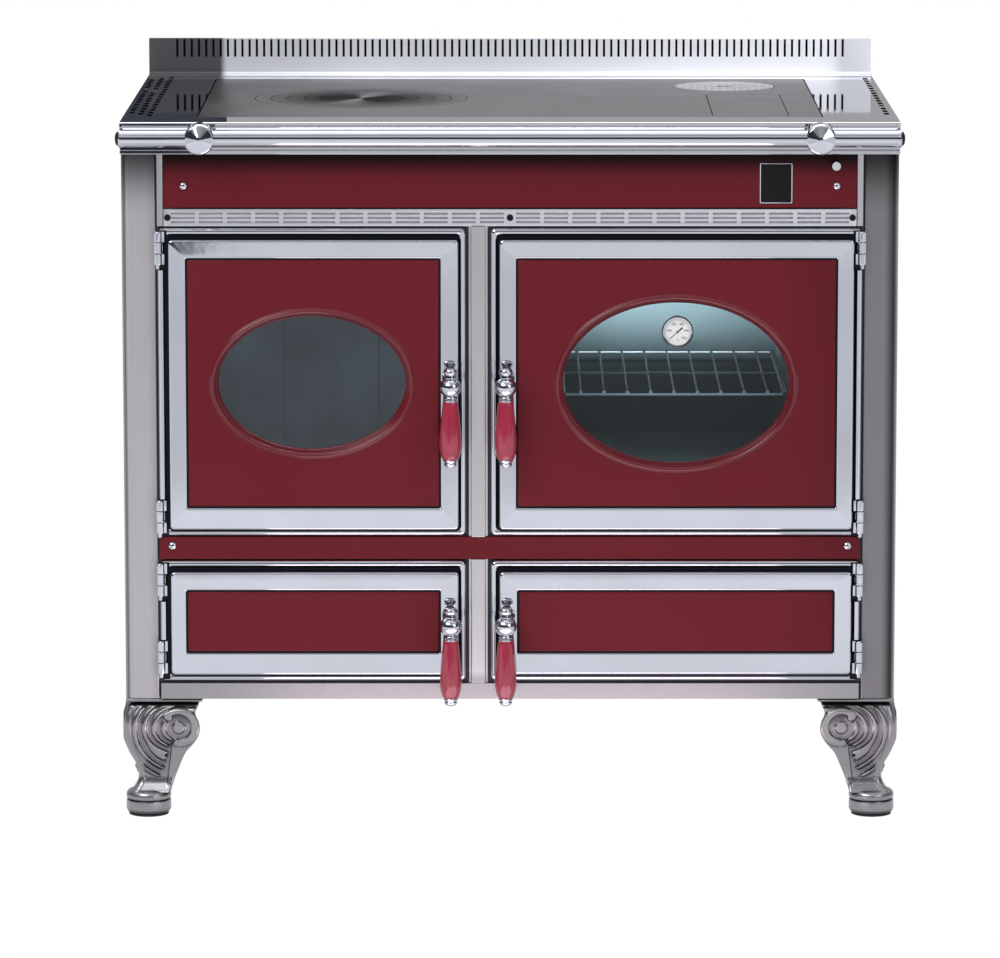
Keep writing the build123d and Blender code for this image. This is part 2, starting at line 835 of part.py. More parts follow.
def window_outline(door, growth=0, mode=Mode.ADD):
    """Draw a door's glass opening, grown all round, in the sketch that is open."""
    width, height = window_sizes[door]
    Ellipse(width / 2 + growth, height / 2 + growth, mode=mode)


for door in (fire, oven):
    with BuildPart() as glazed_panel:
        with BuildSketch(front_plane(panel_back)):
            with Locations(door.centre):
                Rectangle(
                    door.width - 2 * (stile_border + panel_gap),
                    door.height - 2 * (rail_border + panel_gap),
                )
        extrude(amount=panel_thickness)
        chamfer(glazed_panel.faces().sort_by(Axis.Y)[0].edges(), length=panel_chamfer)
        # a raised rim round the window, and the well behind it that runs back to the glass
        with BuildSketch(front_plane(panel_front)):
            with Locations(door.centre):
                window_outline(door, rim_width)
        extrude(amount=rim_height)
        with BuildSketch(front_plane(glass_front)):
            with Locations(door.centre):
                window_outline(door, well_wall)
        extrude(amount=well_depth)
        with BuildSketch(front_plane(glass_front)):
            with Locations(door.centre):
                window_outline(door)
        extrude(amount=well_depth + panel_thickness + rim_height, mode=Mode.SUBTRACT)
    save(f"{door.name}_door_panel", glazed_panel.part)

    glass_width = window_sizes[door][0] + 2 * glass_margin
    glass_height = window_sizes[door][1] + 2 * glass_margin
    with BuildPart() as glass:
        with BuildSketch(front_plane(glass_back)):
            with Locations(door.centre):
                Rectangle(glass_width, glass_height)
            if door is oven:
                with Locations((door.centre[0], door.centre[1] + thermometer_rise)):
                    Circle(thermometer_stem_radius + running_clearance, mode=Mode.SUBTRACT)
        extrude(amount=glass_thickness)
    save(f"{door.name}_door_glass", glass.part)

    with BuildPart() as retainer:
        with BuildSketch(front_plane(glass_back - retainer_thickness)):
            with Locations(door.centre):
                Rectangle(glass_width + 2 * retainer_overlap, glass_height + 2 * retainer_overlap)
                Rectangle(
                    glass_width - 2 * retainer_overlap, glass_height - 2 * retainer_overlap,
                    mode=Mode.SUBTRACT,
                )
        extrude(amount=retainer_thickness)
    save(f"{door.name}_door_retainer", retainer.part)

with BuildPart() as oven_thermometer:
    dial_centre = (oven.centre[0], oven.centre[1] + thermometer_rise)
    with BuildSketch(front_plane(glass_front)):
        with Locations(dial_centre):
            Circle(thermometer_radius)
    extrude(amount=thermometer_thickness)
    with BuildSketch(front_plane(glass_front)):
        with Locations(dial_centre):
            Circle(thermometer_stem_radius)
    extrude(amount=-thermometer_stem)
save("oven_thermometer", oven_thermometer.part)

# ---------------------------------------------------------------- hinges and handles


def hinge(door, hinge_z):
    """Two fixed knuckles on their feet, with the pin between them and its tail below."""
    axis_point = (door.pin_x, front - pin_proud)
    foot_centre = (door.pin_x - door.hinge_side * (lug_width / 2 - pin_inset), front - pin_proud / 2)
    middle = knuckle_length + 2 * knuckle_gap
    low = hinge_z - middle / 2 - knuckle_length
    high = hinge_z + middle / 2 + knuckle_length
    with BuildPart() as hinge_part:
        with BuildSketch(Plane.XY.offset(low)):
            with Locations(axis_point):
                RegularPolygon(knuckle_radius, turned_flats)
            with Locations(foot_centre):
                Rectangle(lug_width, pin_proud)
        extrude(amount=high - low)
        with BuildSketch(Plane.XY.offset(hinge_z - middle / 2)):
            with Locations(axis_point):
                Rectangle(4 * knuckle_radius, 4 * knuckle_radius)
        extrude(amount=middle, mode=Mode.SUBTRACT)
        with BuildSketch(Plane.XY.offset(low - pin_tail)):
            with Locations(axis_point):
                RegularPolygon(pin_radius, turned_flats)
        extrude(amount=high - low + pin_tail)
    return hinge_part.part


hinge_solids = [hinge(door, hinge_z) for door in doors for hinge_z in door.hinge_heights]
with BuildPart() as door_hinges:
    add(hinge_solids)
save("door_hinges", door_hinges.part)


def turned_strip(x, y, high, upper, low, lower):
    """One tapered length about a vertical axis, made with its wide end below and mirrored if need be."""
    with BuildPart() as strip:
        with BuildSketch(Plane.XY.offset(low)):
            with Locations((x, y)):
                RegularPolygon(max(upper, lower), turned_flats, major_radius=False)
        extrude(amount=high - low, taper=degrees(atan2(abs(upper - lower), high - low)))
        if upper > lower:
            mirror(about=Plane.XY.offset((low + high) / 2), mode=Mode.REPLACE)
    return strip.part


def turned_length(x, y, stations):
    """A turned length through stations of (height, radius), from the top down."""
    pairs = zip(stations, stations[1:])
    return [turned_strip(x, y, high, upper, low, lower) for (high, upper), (low, lower) in pairs]


def handle_fitting(door):
    """The turned head and end cap on one rod, with the spindle, rosette and latch tongue."""
    x = door.handle_x
    z = door.handle_z
    neck_z = z + ball_half_height
    grip_low = grip_top(door) - grip_length
    tongue_back = plate_thickness + tongue_setback + tongue_thickness
    head = turned_length(
        x, handle_y,
        (
            (neck_z + knob_height, knob_tip_radius),
            (neck_z + knob_height / 2, knob_radius),
            (neck_z, neck_radius),
            (z + ball_band, ball_radius),
            (z - ball_band, ball_radius),
            (z - ball_half_height, collar_radius),
            (grip_top(door), collar_radius),
        ),
    )
    with BuildPart() as fitting:
        add(head)
        with BuildSketch(Plane.XY.offset(grip_low - cap_length)):
            with Locations((x, handle_y)):
                Circle(rod_radius)
        extrude(amount=grip_length + cap_length)
        with BuildSketch(Plane.XY.offset(grip_low - cap_length)):
            with Locations((x, handle_y)):
                RegularPolygon(cap_radius, turned_flats, major_radius=False)
        extrude(amount=cap_length)
        with BuildSketch(front_plane(-tongue_back)):
            with Locations((x, z)):
                Circle(spindle_radius)
        extrude(amount=handle_standoff + tongue_back)
        with BuildSketch(front_plane(door_back_gap + face_height + rosette_gap)):
            with Locations((x, z)):
                RegularPolygon(rosette_radius, turned_flats, major_radius=False)
        extrude(amount=rosette_thickness)
        # the tongue points up while the handle hangs, clear of the frame's edge
        with BuildSketch(front_plane(-tongue_back)):
            with Locations((x, z + tongue_reach / 2)):
                Rectangle(tongue_width, tongue_reach)
        extrude(amount=tongue_thickness)
    return fitting.part


def grip_top(door):
    """The height where a door's grip meets the collar of its handle."""
    return door.handle_z - ball_half_height - collar_length


def handle_grip(door):
    """The swelling grip, bored for its rod."""
    top = grip_top(door)
    barrel = turned_length(
        door.handle_x, handle_y,
        (
            (top, grip_top_radius),
            (top - grip_bulge_drop / 2, grip_shoulder_radius),
            (top - grip_bulge_drop, grip_max_radius),
            (top - grip_length, grip_end_radius),
        ),
    )
    with BuildPart() as grip:
        add(barrel)
        with BuildSketch(Plane.XY.offset(top)):
            with Locations((door.handle_x, handle_y)):
                Circle(rod_radius + running_clearance)
        extrude(amount=-grip_length, mode=Mode.SUBTRACT)
    return grip.part


handle_y = front - handle_standoff
for door in doors:
    save(f"{door.name}_handle", handle_fitting(door))
    save(f"{door.name}_grip", handle_grip(door))

# ---------------------------------------------------------------- firebox
fire_left = -half_width + column_width + side_gap
box_front = front + plate_thickness
box_back = front + shell_depth
grate_x = (fire_left + firebox_right) / 2
grate_y = front + grate_front + grate_depth / 2

with BuildPart() as firebox_shell:
    block(fire_left, firebox_right, box_front, box_back, hearth_height - shell_wall, hob_bottom)
    block(
        fire_left + shell_wall, firebox_right - shell_wall,
        box_front + shell_wall, box_back - shell_wall, hearth_height, hob_bottom, Mode.SUBTRACT,
    )
    # the stoking mouth behind the door, and the way out for the gases over the oven
    block(
        fire_left + shell_wall, firebox_right - shell_wall,
        box_front, box_front + shell_wall, hearth_height, mouth_top, Mode.SUBTRACT,
    )
    block(
        firebox_right - shell_wall, firebox_right,
        front + outlet_front, front + outlet_back, outlet_bottom, hob_bottom - lip_width, Mode.SUBTRACT,
    )
    with BuildSketch(Plane.XY.offset(hearth_height)):
        with Locations((grate_x, grate_y)):
            Rectangle(grate_width - 2 * grate_ledge, grate_depth - 2 * grate_ledge)
    extrude(amount=-shell_wall, mode=Mode.SUBTRACT)
save("firebox_shell", firebox_shell.part)


def brick_row(start, end, width_direction, count):
    """Firebricks side by side between two corners, a joint's width apart."""
    x_low, x_high = sorted((start[0], end[0]))
    y_low, y_high = sorted((start[1], end[1]))
    run = (x_high - x_low) if width_direction == "x" else (y_high - y_low)
    brick = (run - (count - 1) * brick_joint) / count
    bricks = []
    for index in range(count):
        shift = index * (brick + brick_joint)
        with BuildPart() as one_brick:
            if width_direction == "x":
                block(x_low + shift, x_low + shift + brick, y_low, y_high, hearth_height, brick_top)
            else:
                block(x_low, x_high, y_low + shift, y_low + shift + brick, hearth_height, brick_top)
        bricks.append(one_brick.part)
    return bricks


brick_top = hearth_height + brick_height
lining_left = fire_left + shell_wall + brick_joint
lining_right = firebox_right - shell_wall - brick_joint
lining_back = box_back - shell_wall - brick_joint
side_back = lining_back - brick_thickness - brick_joint
side_front = front + brick_front

left_face = lining_left + brick_thickness
right_face = lining_right - brick_thickness
back_face = lining_back - brick_thickness
left_bricks = brick_row((lining_left, side_front), (left_face, side_back), "y", side_bricks)
right_bricks = brick_row((lining_right, side_front), (right_face, side_back), "y", side_bricks)
back_bricks = brick_row((lining_left, lining_back), (lining_right, back_face), "x", side_bricks)
brick_sets = (("left", left_bricks), ("right", right_bricks), ("back", back_bricks))
for name, bricks in brick_sets:
    with BuildPart() as firebricks:
        add(bricks)
    save(f"firebricks_{name}", firebricks.part)

with BuildPart() as fire_grate:
    with BuildSketch(Plane.XY.offset(hearth_height)):
        with Locations((grate_x, grate_y)):
            Rectangle(grate_width, grate_depth)
            with GridLocations(grate_slot_spacing, 1, grate_slots, 1):
                Rectangle(grate_slot_width, grate_depth - 4 * grate_ledge, mode=Mode.SUBTRACT)
    extrude(amount=grate_thickness)
save("fire_grate", fire_grate.part)

# ---------------------------------------------------------------- oven
oven_x = oven.centre[0]
oven_low = oven_x - oven_width / 2
oven_high = oven_x + oven_width / 2
oven_top = oven_bottom + oven_height
case_right = half_width - column_width - side_gap
skirt_low = upper_door_bottom - skirt_margin
skirt_high = upper_top - skirt_margin

mouth_y = front + oven_mouth
with BuildPart() as oven_case:
    # the face that closes the front round the mouth, and the cavity behind it
    block(oven_side_left, case_right, mouth_y - oven_wall, mouth_y, skirt_low, skirt_high)
    block(
        oven_low - oven_wall, oven_high + oven_wall, mouth_y, mouth_y + oven_depth,
        oven_bottom - oven_wall, oven_top + oven_wall,
    )
    block(
        oven_low, oven_high, mouth_y - oven_wall, mouth_y + oven_depth - oven_wall,
        oven_bottom, oven_top, Mode.SUBTRACT,
    )
    # two runners pressed out of the side walls carry the rack
    for side in (-1, 1):
        wall_x = oven_x + side * oven_width / 2
        inner_x = wall_x - side * runner_width
        block(
            min(wall_x, inner_x), max(wall_x, inner_x),
            mouth_y + side_gap, mouth_y + oven_depth - side_gap,
            runner_height - oven_wall, runner_height,
        )
# a skirt of four strips joins the face to the front frame
skirt_back = mouth_y - oven_wall
skirt = [
    plate(oven_side_left, case_right, box_front, skirt_back, skirt_low, skirt_low + oven_wall),
    plate(oven_side_left, case_right, box_front, skirt_back, skirt_high - oven_wall, skirt_high),
]
for strip_left in (oven_side_left, case_right - oven_wall):
    skirt.append(
        plate(
            strip_left, strip_left + oven_wall, box_front, skirt_back,
            skirt_low + oven_wall, skirt_high - oven_wall,
        )
    )
oven_shell = Compound(children=[oven_case.part.solid(), *skirt])
save("oven_shell", oven_shell)

rack_half = oven_width / 2 - rack_gap - rack_rod
rack_z = runner_height + seat_gap + rack_rod
rack_low_y = front + rack_front
rack_high_y = rack_low_y + rack_length
with BuildPart() as oven_rack:
    # two side rods and three cross rails, with the wires laid on the rails
    with BuildSketch(Plane.XZ.offset(-rack_low_y)):
        with Locations((oven_x, rack_z)):
            with GridLocations(2 * rack_half, 1, 2, 1):
                RegularPolygon(rack_rod, rod_flats)
        with Locations((oven_x, rack_z + rack_rod)):
            with GridLocations(rack_pitch, 1, rack_wires, 1):
                RegularPolygon(rack_wire, rod_flats)
    extrude(amount=-rack_length)
    with BuildSketch(Plane.YZ.offset(oven_x - rack_half)):
        with Locations(((rack_low_y + rack_high_y) / 2, rack_z)):
            with GridLocations(rack_length / 2 - rack_rod, 1, 3, 1):
                RegularPolygon(rack_rod, rod_flats)
    extrude(amount=2 * rack_half)
save("oven_rack", oven_rack.part)

# ---------------------------------------------------------------- ash box, store and pan


def open_box(x_low, x_high, z_low, z_high, has_top):
    """A sheet compartment behind a lower door, open in front."""
    with BuildPart() as box:
        block(x_low, x_high, box_front, box_back, z_low, z_high)
        block(
            x_low + thin_sheet, x_high - thin_sheet, box_front, box_back - thin_sheet,
            z_low + thin_sheet, z_high - (thin_sheet if has_top else 0), Mode.SUBTRACT,
        )
    return box.part


save("ash_box", open_box(fire_left, firebox_right, box_bottom, hearth_height - shell_wall, False))
save("store_box", open_box(oven_side_left, case_right, box_bottom, store_top, True))

# the pan is welded from sheet, with a loop to pull it by
pan_low = box_bottom + thin_sheet + seat_gap
pan_high = pan_low + pan_height
pan_left = fire_left + pan_side_gap
pan_right = firebox_right - pan_mullion_gap
pan_near = front + pan_front
pan_far = pan_near + pan_depth
wall_low = pan_low + thin_sheet
ash_plates = [
    plate(pan_left, pan_right, pan_near, pan_far, pan_low, wall_low),
    plate(pan_left, pan_right, pan_near, pan_near + thin_sheet, wall_low, pan_high),
    plate(pan_left, pan_right, pan_far - thin_sheet, pan_far, wall_low, pan_high),
]
for wall_left in (pan_left, pan_right - thin_sheet):
    ash_plates.append(
        plate(wall_left, wall_left + thin_sheet, pan_near + thin_sheet, pan_far - thin_sheet, wall_low, pan_high)
    )
loop_near = pan_near - pan_grip_proud
loop_left = (pan_left + pan_right - pan_grip_width) / 2
loop_right = loop_left + pan_grip_width
loop_low = pan_high - pan_grip_drop - pan_grip_height / 2
loop_high = loop_low + pan_grip_height
for strip_low in (loop_low, loop_high - thin_sheet):
    ash_plates.append(plate(loop_left, loop_right, loop_near, pan_near, strip_low, strip_low + thin_sheet))
for strip_left in (loop_left, loop_right - thin_sheet):
    ash_plates.append(
        plate(
            strip_left, strip_left + thin_sheet, loop_near, pan_near,
            loop_low + thin_sheet, loop_high - thin_sheet,
        )
    )
ash_pan = Compound(children=ash_plates)
save("ash_pan", ash_pan)

# ---------------------------------------------------------------- flue and damper
spigot_back = front + rear_reach
damper_y = front + damper_depth

with BuildPart() as flue_duct:
    block(firebox_right, duct_right, front + duct_front, box_back, duct_bottom, hob_bottom)
    block(
        firebox_right, duct_right - duct_wall, front + duct_front + duct_wall, box_back - duct_wall,
        duct_bottom + duct_wall, hob_bottom, Mode.SUBTRACT,
    )
    with BuildSketch(Plane.XZ.offset(-box_back)):
        with Locations((spigot_x, spigot_height)):
            Circle(spigot_radius - spigot_wall)
    extrude(amount=duct_wall, mode=Mode.SUBTRACT)
    # lug that guides the damper's pull rod
    with BuildSketch(Plane.XZ.offset(-front - guide_depth)):
        with Locations(((duct_right + pull_x + guide_margin) / 2, pull_height)):
            Rectangle(pull_x + guide_margin - duct_right, 2 * guide_margin)
        with Locations((pull_x, pull_height)):
            Circle(pull_rod_radius + running_clearance, mode=Mode.SUBTRACT)
    extrude(amount=-guide_width)
save("flue_duct", flue_duct.part)

with BuildPart() as flue_spigot:
    with BuildSketch(Plane.XZ.offset(-back + sheet)):
        with Locations((spigot_x, spigot_height)):
            Circle(spigot_flange)
    extrude(amount=-flange_thickness)
    with BuildSketch(Plane.XZ.offset(-box_back)):
        with Locations((spigot_x, spigot_height)):
            Circle(spigot_radius)
    extrude(amount=box_back - spigot_back)
    with BuildSketch(Plane.XZ.offset(-box_back)):
        with Locations((spigot_x, spigot_height)):
            Circle(spigot_radius - spigot_wall)
    extrude(amount=box_back - spigot_back, mode=Mode.SUBTRACT)
    with BuildSketch(Plane.YZ.offset(spigot_x - spigot_flange)):
        with Locations((damper_y, spigot_height)):
            Circle(damper_shaft_radius + running_clearance)
    extrude(amount=2 * spigot_flange, mode=Mode.SUBTRACT)
save("flue_spigot", flue_spigot.part)

crank_lean = radians(crank_swing)
crank_pin_y = damper_y + crank_radius * sin(crank_lean)
crank_pin_z = spigot_height + crank_radius * cos(crank_lean)
crank_plane = Plane(
    (crank_x, damper_y, spigot_height),
    x_dir=(0, sin(crank_lean), cos(crank_lean)),
    z_dir=(1, 0, 0),
)
with BuildPart() as damper_flap:
    with BuildSketch(Plane.XY.offset(spigot_height - damper_thickness / 2)):
        with Locations((spigot_x, damper_y)):
            Circle(damper_radius)
    extrude(amount=damper_thickness)
    with BuildSketch(Plane.YZ.offset(spigot_x - spigot_radius - side_gap / 2)):
        with Locations((damper_y, spigot_height)):
            Circle(damper_shaft_radius)
    extrude(amount=crank_x - spigot_x + spigot_radius + side_gap / 2)
    with BuildSketch(crank_plane):
        with Locations((crank_radius / 2, 0)):
            SlotCenterToCenter(crank_radius, 2 * damper_shaft_radius)
    extrude(amount=crank_thickness)
    with BuildSketch(Plane.YZ.offset(crank_x)):
        with Locations((crank_pin_y, crank_pin_z)):
            Circle(crank_pin_radius)
    extrude(amount=-crank_pin_length)
save("damper_flap", damper_flap.part)

rod_front = front - fascia_proud - pull_knob_proud
plate_y = crank_pin_y
slot_height = crank_radius - crank_radius * cos(crank_lean)
slot_half = crank_pin_radius + pull_slot_clearance
with BuildPart() as damper_rod:
    with BuildSketch(Plane.XZ.offset(-rod_front - pull_knob_proud / 2)):
        with Locations((pull_x, pull_height)):
            Circle(pull_rod_radius)
    extrude(amount=rod_front + pull_knob_proud / 2 - plate_y + slot_half)
    with BuildSketch(Plane.XZ.offset(-rod_front)):
        with Locations((pull_x, pull_height)):
            Circle(pull_knob_radius)
    extrude(amount=-(pull_knob_proud - pull_knob_gap))
    # end plate with an upright slot that drives the crank's pin
    with BuildSketch(Plane.YZ.offset(pull_x - pull_plate_thickness / 2)):
        with Locations((plate_y, pull_height - slot_height / 2)):
            Rectangle(2 * (slot_half + pull_plate_border), slot_height + 2 * (slot_half + pull_plate_border))
            Rectangle(2 * slot_half, slot_height + 2 * slot_half, mode=Mode.SUBTRACT)
    extrude(amount=pull_plate_thickness)
save("damper_rod", damper_rod.part)


# ---------------------------------------------------------------- legs
def leg_outline():
    """The scroll leg seen square on: u runs inwards from the outer face, v up from the floor."""
    with BuildSketch() as outline:
        with BuildLine():
            Polyline(*leg_outer, *reversed(leg_inner), leg_outer[0])
        make_face()
    return outline.sketch


def hollow_outline():
    """The hollow behind the two faces of a leg, a wall's thickness in from its outer edge."""
    leg_top = leg_height - leg_plate_thickness
    with BuildSketch() as outline:
        with BuildLine():
            Polyline(
                (ankle_outer + leg_wall, ankle_height + leg_wall / 2),
                (calf_outer + leg_wall, calf_height),
                (leg_wall - knee_bulge, volute_z),
                (leg_wall, leg_top),
                (2 * leg_plate, leg_top),
                (2 * leg_plate, ankle_height + leg_wall / 2),
                (ankle_outer + leg_wall, ankle_height + leg_wall / 2),
            )
        make_face()
    return outline.sketch


def crossed(outline, front_view, side_view):
    """The solid that shows the same outline from the front and from the side."""
    with BuildPart() as solid:
        with BuildSketch(front_view):
            add(outline)
        extrude(amount=2 * leg_plate, both=True)
        with BuildSketch(side_view):
            add(outline)
        extrude(amount=2 * leg_plate, both=True, mode=Mode.INTERSECT)
    return solid.part


def scroll_leg(side, end):
    """One hollow cast leg: side is -1 or 1 across the stove, end is -1 in front and 1 behind."""
    corner_x = side * half_width
    corner_y = front if end < 0 else back
    front_view = Plane((corner_x, corner_y, 0), x_dir=(-side, 0, 0), z_dir=(0, side, 0))
    side_view = Plane((corner_x, corner_y, 0), x_dir=(0, -end, 0), z_dir=(-end, 0, 0))
    plate_centre = (corner_x - side * leg_plate / 2, corner_y - end * leg_plate / 2)
    foot_centre = (corner_x - side * foot_inset, corner_y - end * foot_inset)
    body = crossed(leg_outline(), front_view, side_view)
    hollow = crossed(hollow_outline(), front_view, side_view)
    with BuildPart() as leg:
        add(body)
        add(hollow, mode=Mode.SUBTRACT)
        # volutes with a sunk ring and a proud eye on both faces
        for view, inwards in ((front_view, -side * end), (side_view, side * end)):
            face = view.offset(-inwards * volute_proud)
            with BuildSketch(face):
                with Locations((volute_u, volute_z)):
                    RegularPolygon(volute_radius, turned_flats)
            extrude(amount=inwards * leg_wall)
            with BuildSketch(face):
                with Locations((volute_u, volute_z)):
                    RegularPolygon(volute_radius - volute_rim, turned_flats)
                    RegularPolygon(eye_radius, turned_flats, mode=Mode.SUBTRACT)
            extrude(amount=inwards * volute_proud, mode=Mode.SUBTRACT)
        with BuildSketch(Plane.XY.offset(leg_height - leg_plate_thickness)):
            with Locations(plate_centre):
                Rectangle(leg_plate, leg_plate)
        extrude(amount=leg_plate_thickness)
        # turned foot
        for low, high, radius in foot_turning:
            with BuildSketch(Plane.XY.offset(low)):
                with Locations(foot_centre):
                    RegularPolygon(radius, 2 * turned_flats)
            extrude(amount=high - low)
    return leg.part


corners = [(side, end) for side in (-1, 1) for end in (-1, 1)]
leg_solids = [scroll_leg(side, end) for side, end in corners]
with BuildPart() as legs:
    add(leg_solids)
save("legs", legs.part)

with BuildPart() as foot_pads:
    with BuildSketch():
        for side, end in corners:
            corner_y = front if end < 0 else back
            with Locations((side * (half_width - foot_inset), corner_y - end * foot_inset)):
                Circle(pad_radius)
    extrude(amount=pad_height)
save("foot_pads", foot_pads.part)
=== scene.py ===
"""Visual model of a wood cookstove, dressed over its CAD frame.

Lengths in the classes are millimetres, measured as in the part's source: x to the viewer's right, depth
behind the front plane of the body (negative in front of it) and z above the floor. The meshes are metres.
"""
from __future__ import annotations

import json
import logging
import math
import sys
from contextlib import contextmanager
from dataclasses import dataclass
from enum import Enum
from typing import Iterator, Sequence, Union

import bmesh
import bpy
from mathutils import Matrix, Vector

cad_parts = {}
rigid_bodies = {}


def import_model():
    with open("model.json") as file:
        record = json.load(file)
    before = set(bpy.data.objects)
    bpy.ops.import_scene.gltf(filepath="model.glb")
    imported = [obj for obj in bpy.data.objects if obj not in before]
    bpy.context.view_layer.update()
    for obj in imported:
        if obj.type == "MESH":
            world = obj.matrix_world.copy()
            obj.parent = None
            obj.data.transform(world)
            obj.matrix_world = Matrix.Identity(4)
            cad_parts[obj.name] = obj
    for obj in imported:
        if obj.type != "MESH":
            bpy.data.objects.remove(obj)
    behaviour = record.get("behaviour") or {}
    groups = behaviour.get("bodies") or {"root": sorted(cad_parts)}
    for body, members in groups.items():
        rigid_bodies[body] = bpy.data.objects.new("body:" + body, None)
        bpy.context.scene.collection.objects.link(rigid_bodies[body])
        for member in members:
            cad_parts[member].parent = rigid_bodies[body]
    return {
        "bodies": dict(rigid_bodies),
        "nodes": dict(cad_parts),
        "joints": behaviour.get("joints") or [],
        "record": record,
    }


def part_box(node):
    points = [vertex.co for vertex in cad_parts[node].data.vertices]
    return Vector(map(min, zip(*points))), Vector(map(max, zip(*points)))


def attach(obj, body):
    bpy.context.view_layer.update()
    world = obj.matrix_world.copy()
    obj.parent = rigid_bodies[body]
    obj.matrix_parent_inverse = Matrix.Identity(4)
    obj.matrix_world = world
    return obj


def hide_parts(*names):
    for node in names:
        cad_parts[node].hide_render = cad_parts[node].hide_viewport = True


log = logging.getLogger("cookstove")

MM = 0.001
FRONT = -303.75
HALF_WIDTH = 500.0
HOB_HEIGHT = 911.0
MOULDING_ANGLE = 40.0

Pair = tuple[float, float]
Triple = tuple[float, float, float]
Box = tuple[float, float, float, float]
Profile = Sequence[Pair]
Ring = list[Vector]
Piece = bpy.types.Object
Material = bpy.types.Material
Socket = bpy.types.NodeSocket
Value = Union[bpy.types.NodeSocket, float, Sequence[float]]

ORIGIN = (0.0, 0.0, 0.0)
EVEN = (1.0, 1.0, 1.0)
FLAT = (1.0, 1.0, 0.0)


class Axis(Enum):
    """The direction that a turned piece's axis points."""

    RIGHT = (1.0, 0.0, 0.0)
    FORWARD = (0.0, -1.0, 0.0)
    UP = (0.0, 0.0, 1.0)
    LEFT = (-1.0, 0.0, 0.0)


def place(x: float, depth: float, z: float) -> Vector:
    """A point in metres from x, depth behind the front plane and height in millimetres."""
    return Vector((x * MM, (FRONT + depth) * MM, z * MM))


# ------------------------------------------------------------------ bench


def deselect() -> None:
    """Leaves object mode with nothing selected."""
    if bpy.context.object is not None and bpy.context.object.mode != "OBJECT":
        bpy.ops.object.mode_set(mode="OBJECT")
    bpy.ops.object.select_all(action="DESELECT")


def take(obj: Piece) -> None:
    """Makes obj the only selected object and the active one.

    Args:
        obj: the object to work on.
    """
    deselect()
    obj.select_set(True)
    bpy.context.view_layer.objects.active = obj


@contextmanager
def editing(obj: Piece) -> Iterator[bmesh.types.BMesh]:
    """Opens obj in edit mode with nothing selected.

    Args:
        obj: the mesh object to edit.

    Yields:
        The edit mesh, current at the start of the block.
    """
    take(obj)
    bpy.ops.object.mode_set(mode="EDIT")
    bpy.ops.mesh.select_mode(type="VERT")
    bpy.ops.mesh.select_all(action="DESELECT")
    yield bmesh.from_edit_mesh(obj.data)
    bpy.ops.object.mode_set(mode="OBJECT")


def fix(obj: Piece) -> None:
    """Puts an object's place, turn and size into its mesh."""
    take(obj)
    bpy.ops.object.transform_apply(location=True, rotation=True, scale=True)


def close_up(obj: Piece, outwards: bool = True) -> None:
    """Merges an object's doubled points and turns its faces the same way out.

    Args:
        obj: the mesh object.
        outwards: whether the faces are turned to point outwards.
    """
    with editing(obj):
        bpy.ops.mesh.select_all(action="SELECT")
        bpy.ops.mesh.remove_doubles(threshold=5e-6)
        if outwards:
            bpy.ops.mesh.normals_make_consistent(inside=False)


def soften(obj: Piece, degrees: float = 32.0) -> None:
    """Shades an object smooth wherever its faces meet at less than the angle."""
    take(obj)
    bpy.ops.object.shade_smooth_by_angle(angle=math.radians(degrees))
    apply_modifier(obj, "WEIGHTED_NORMAL", weight=80, keep_sharp=True)


def apply_modifier(obj: Piece, kind: str, **settings: object) -> None:
    """Adds one modifier to an object and applies it.

    Args:
        obj: the mesh object.
        kind: the modifier's type.
        **settings: the modifier's own settings.
    """
    take(obj)
    modifier = obj.modifiers.new(kind.lower(), kind)
    for key, value in settings.items():
        setattr(modifier, key, value)
    bpy.ops.object.modifier_apply(modifier=modifier.name)


def round_edges(obj: Piece, width: float, segments: int = 2, degrees: float = 35.0) -> None:
    """Rounds every edge of an object that is sharper than the angle.

    Args:
        obj: the mesh object.
        width: the rounding in millimetres.
        segments: faces across each rounding.
        degrees: the least angle that is rounded.
    """
    apply_modifier(
        obj, "BEVEL", width=width * MM, segments=segments, limit_method="ANGLE",
        angle_limit=math.radians(degrees), use_clamp_overlap=True, miter_outer="MITER_ARC",
    )


def ring_shell(name: str, rings: Sequence[Ring], first: bool = True, last: bool = True) -> Piece:
    """Extrudes a circle of points through a row of rings.

    Args:
        name: the new object's name.
        rings: the rings, each with the same number of points in the same order.
        first: whether the first ring is filled with a face.
        last: whether the last ring is filled with a face.

    Returns:
        The new object, merged and pointing outwards.
    """
    deselect()
    count = len(rings[0])
    bpy.ops.mesh.primitive_circle_add(vertices=count, radius=1.0)
    obj = bpy.context.object
    obj.name = name
    obj.data.name = name
    bpy.ops.object.mode_set(mode="EDIT")
    bpy.ops.mesh.select_mode(type="EDGE")
    mesh = bmesh.from_edit_mesh(obj.data)
    mesh.verts.ensure_lookup_table()
    loop = list(range(count))
    for index, point in zip(loop, rings[0]):
        mesh.verts[index].co = point
    if first:
        bpy.ops.mesh.select_all(action="SELECT")
        bpy.ops.mesh.edge_face_add()
    for ring in rings[1:]:
        bpy.ops.mesh.extrude_edges_move()
        mesh = bmesh.from_edit_mesh(obj.data)
        mesh.verts.ensure_lookup_table()
        above = []
        for index in loop:
            for edge in mesh.verts[index].link_edges:
                other = edge.other_vert(mesh.verts[index])
                if other.select and not mesh.verts[index].select:
                    above.append(other.index)
        for index, point in zip(above, ring):
            mesh.verts[index].co = point
        loop = above
    if last:
        bpy.ops.mesh.edge_face_add()
    bmesh.update_edit_mesh(obj.data)
    bpy.ops.object.mode_set(mode="OBJECT")
    close_up(obj)
    return obj


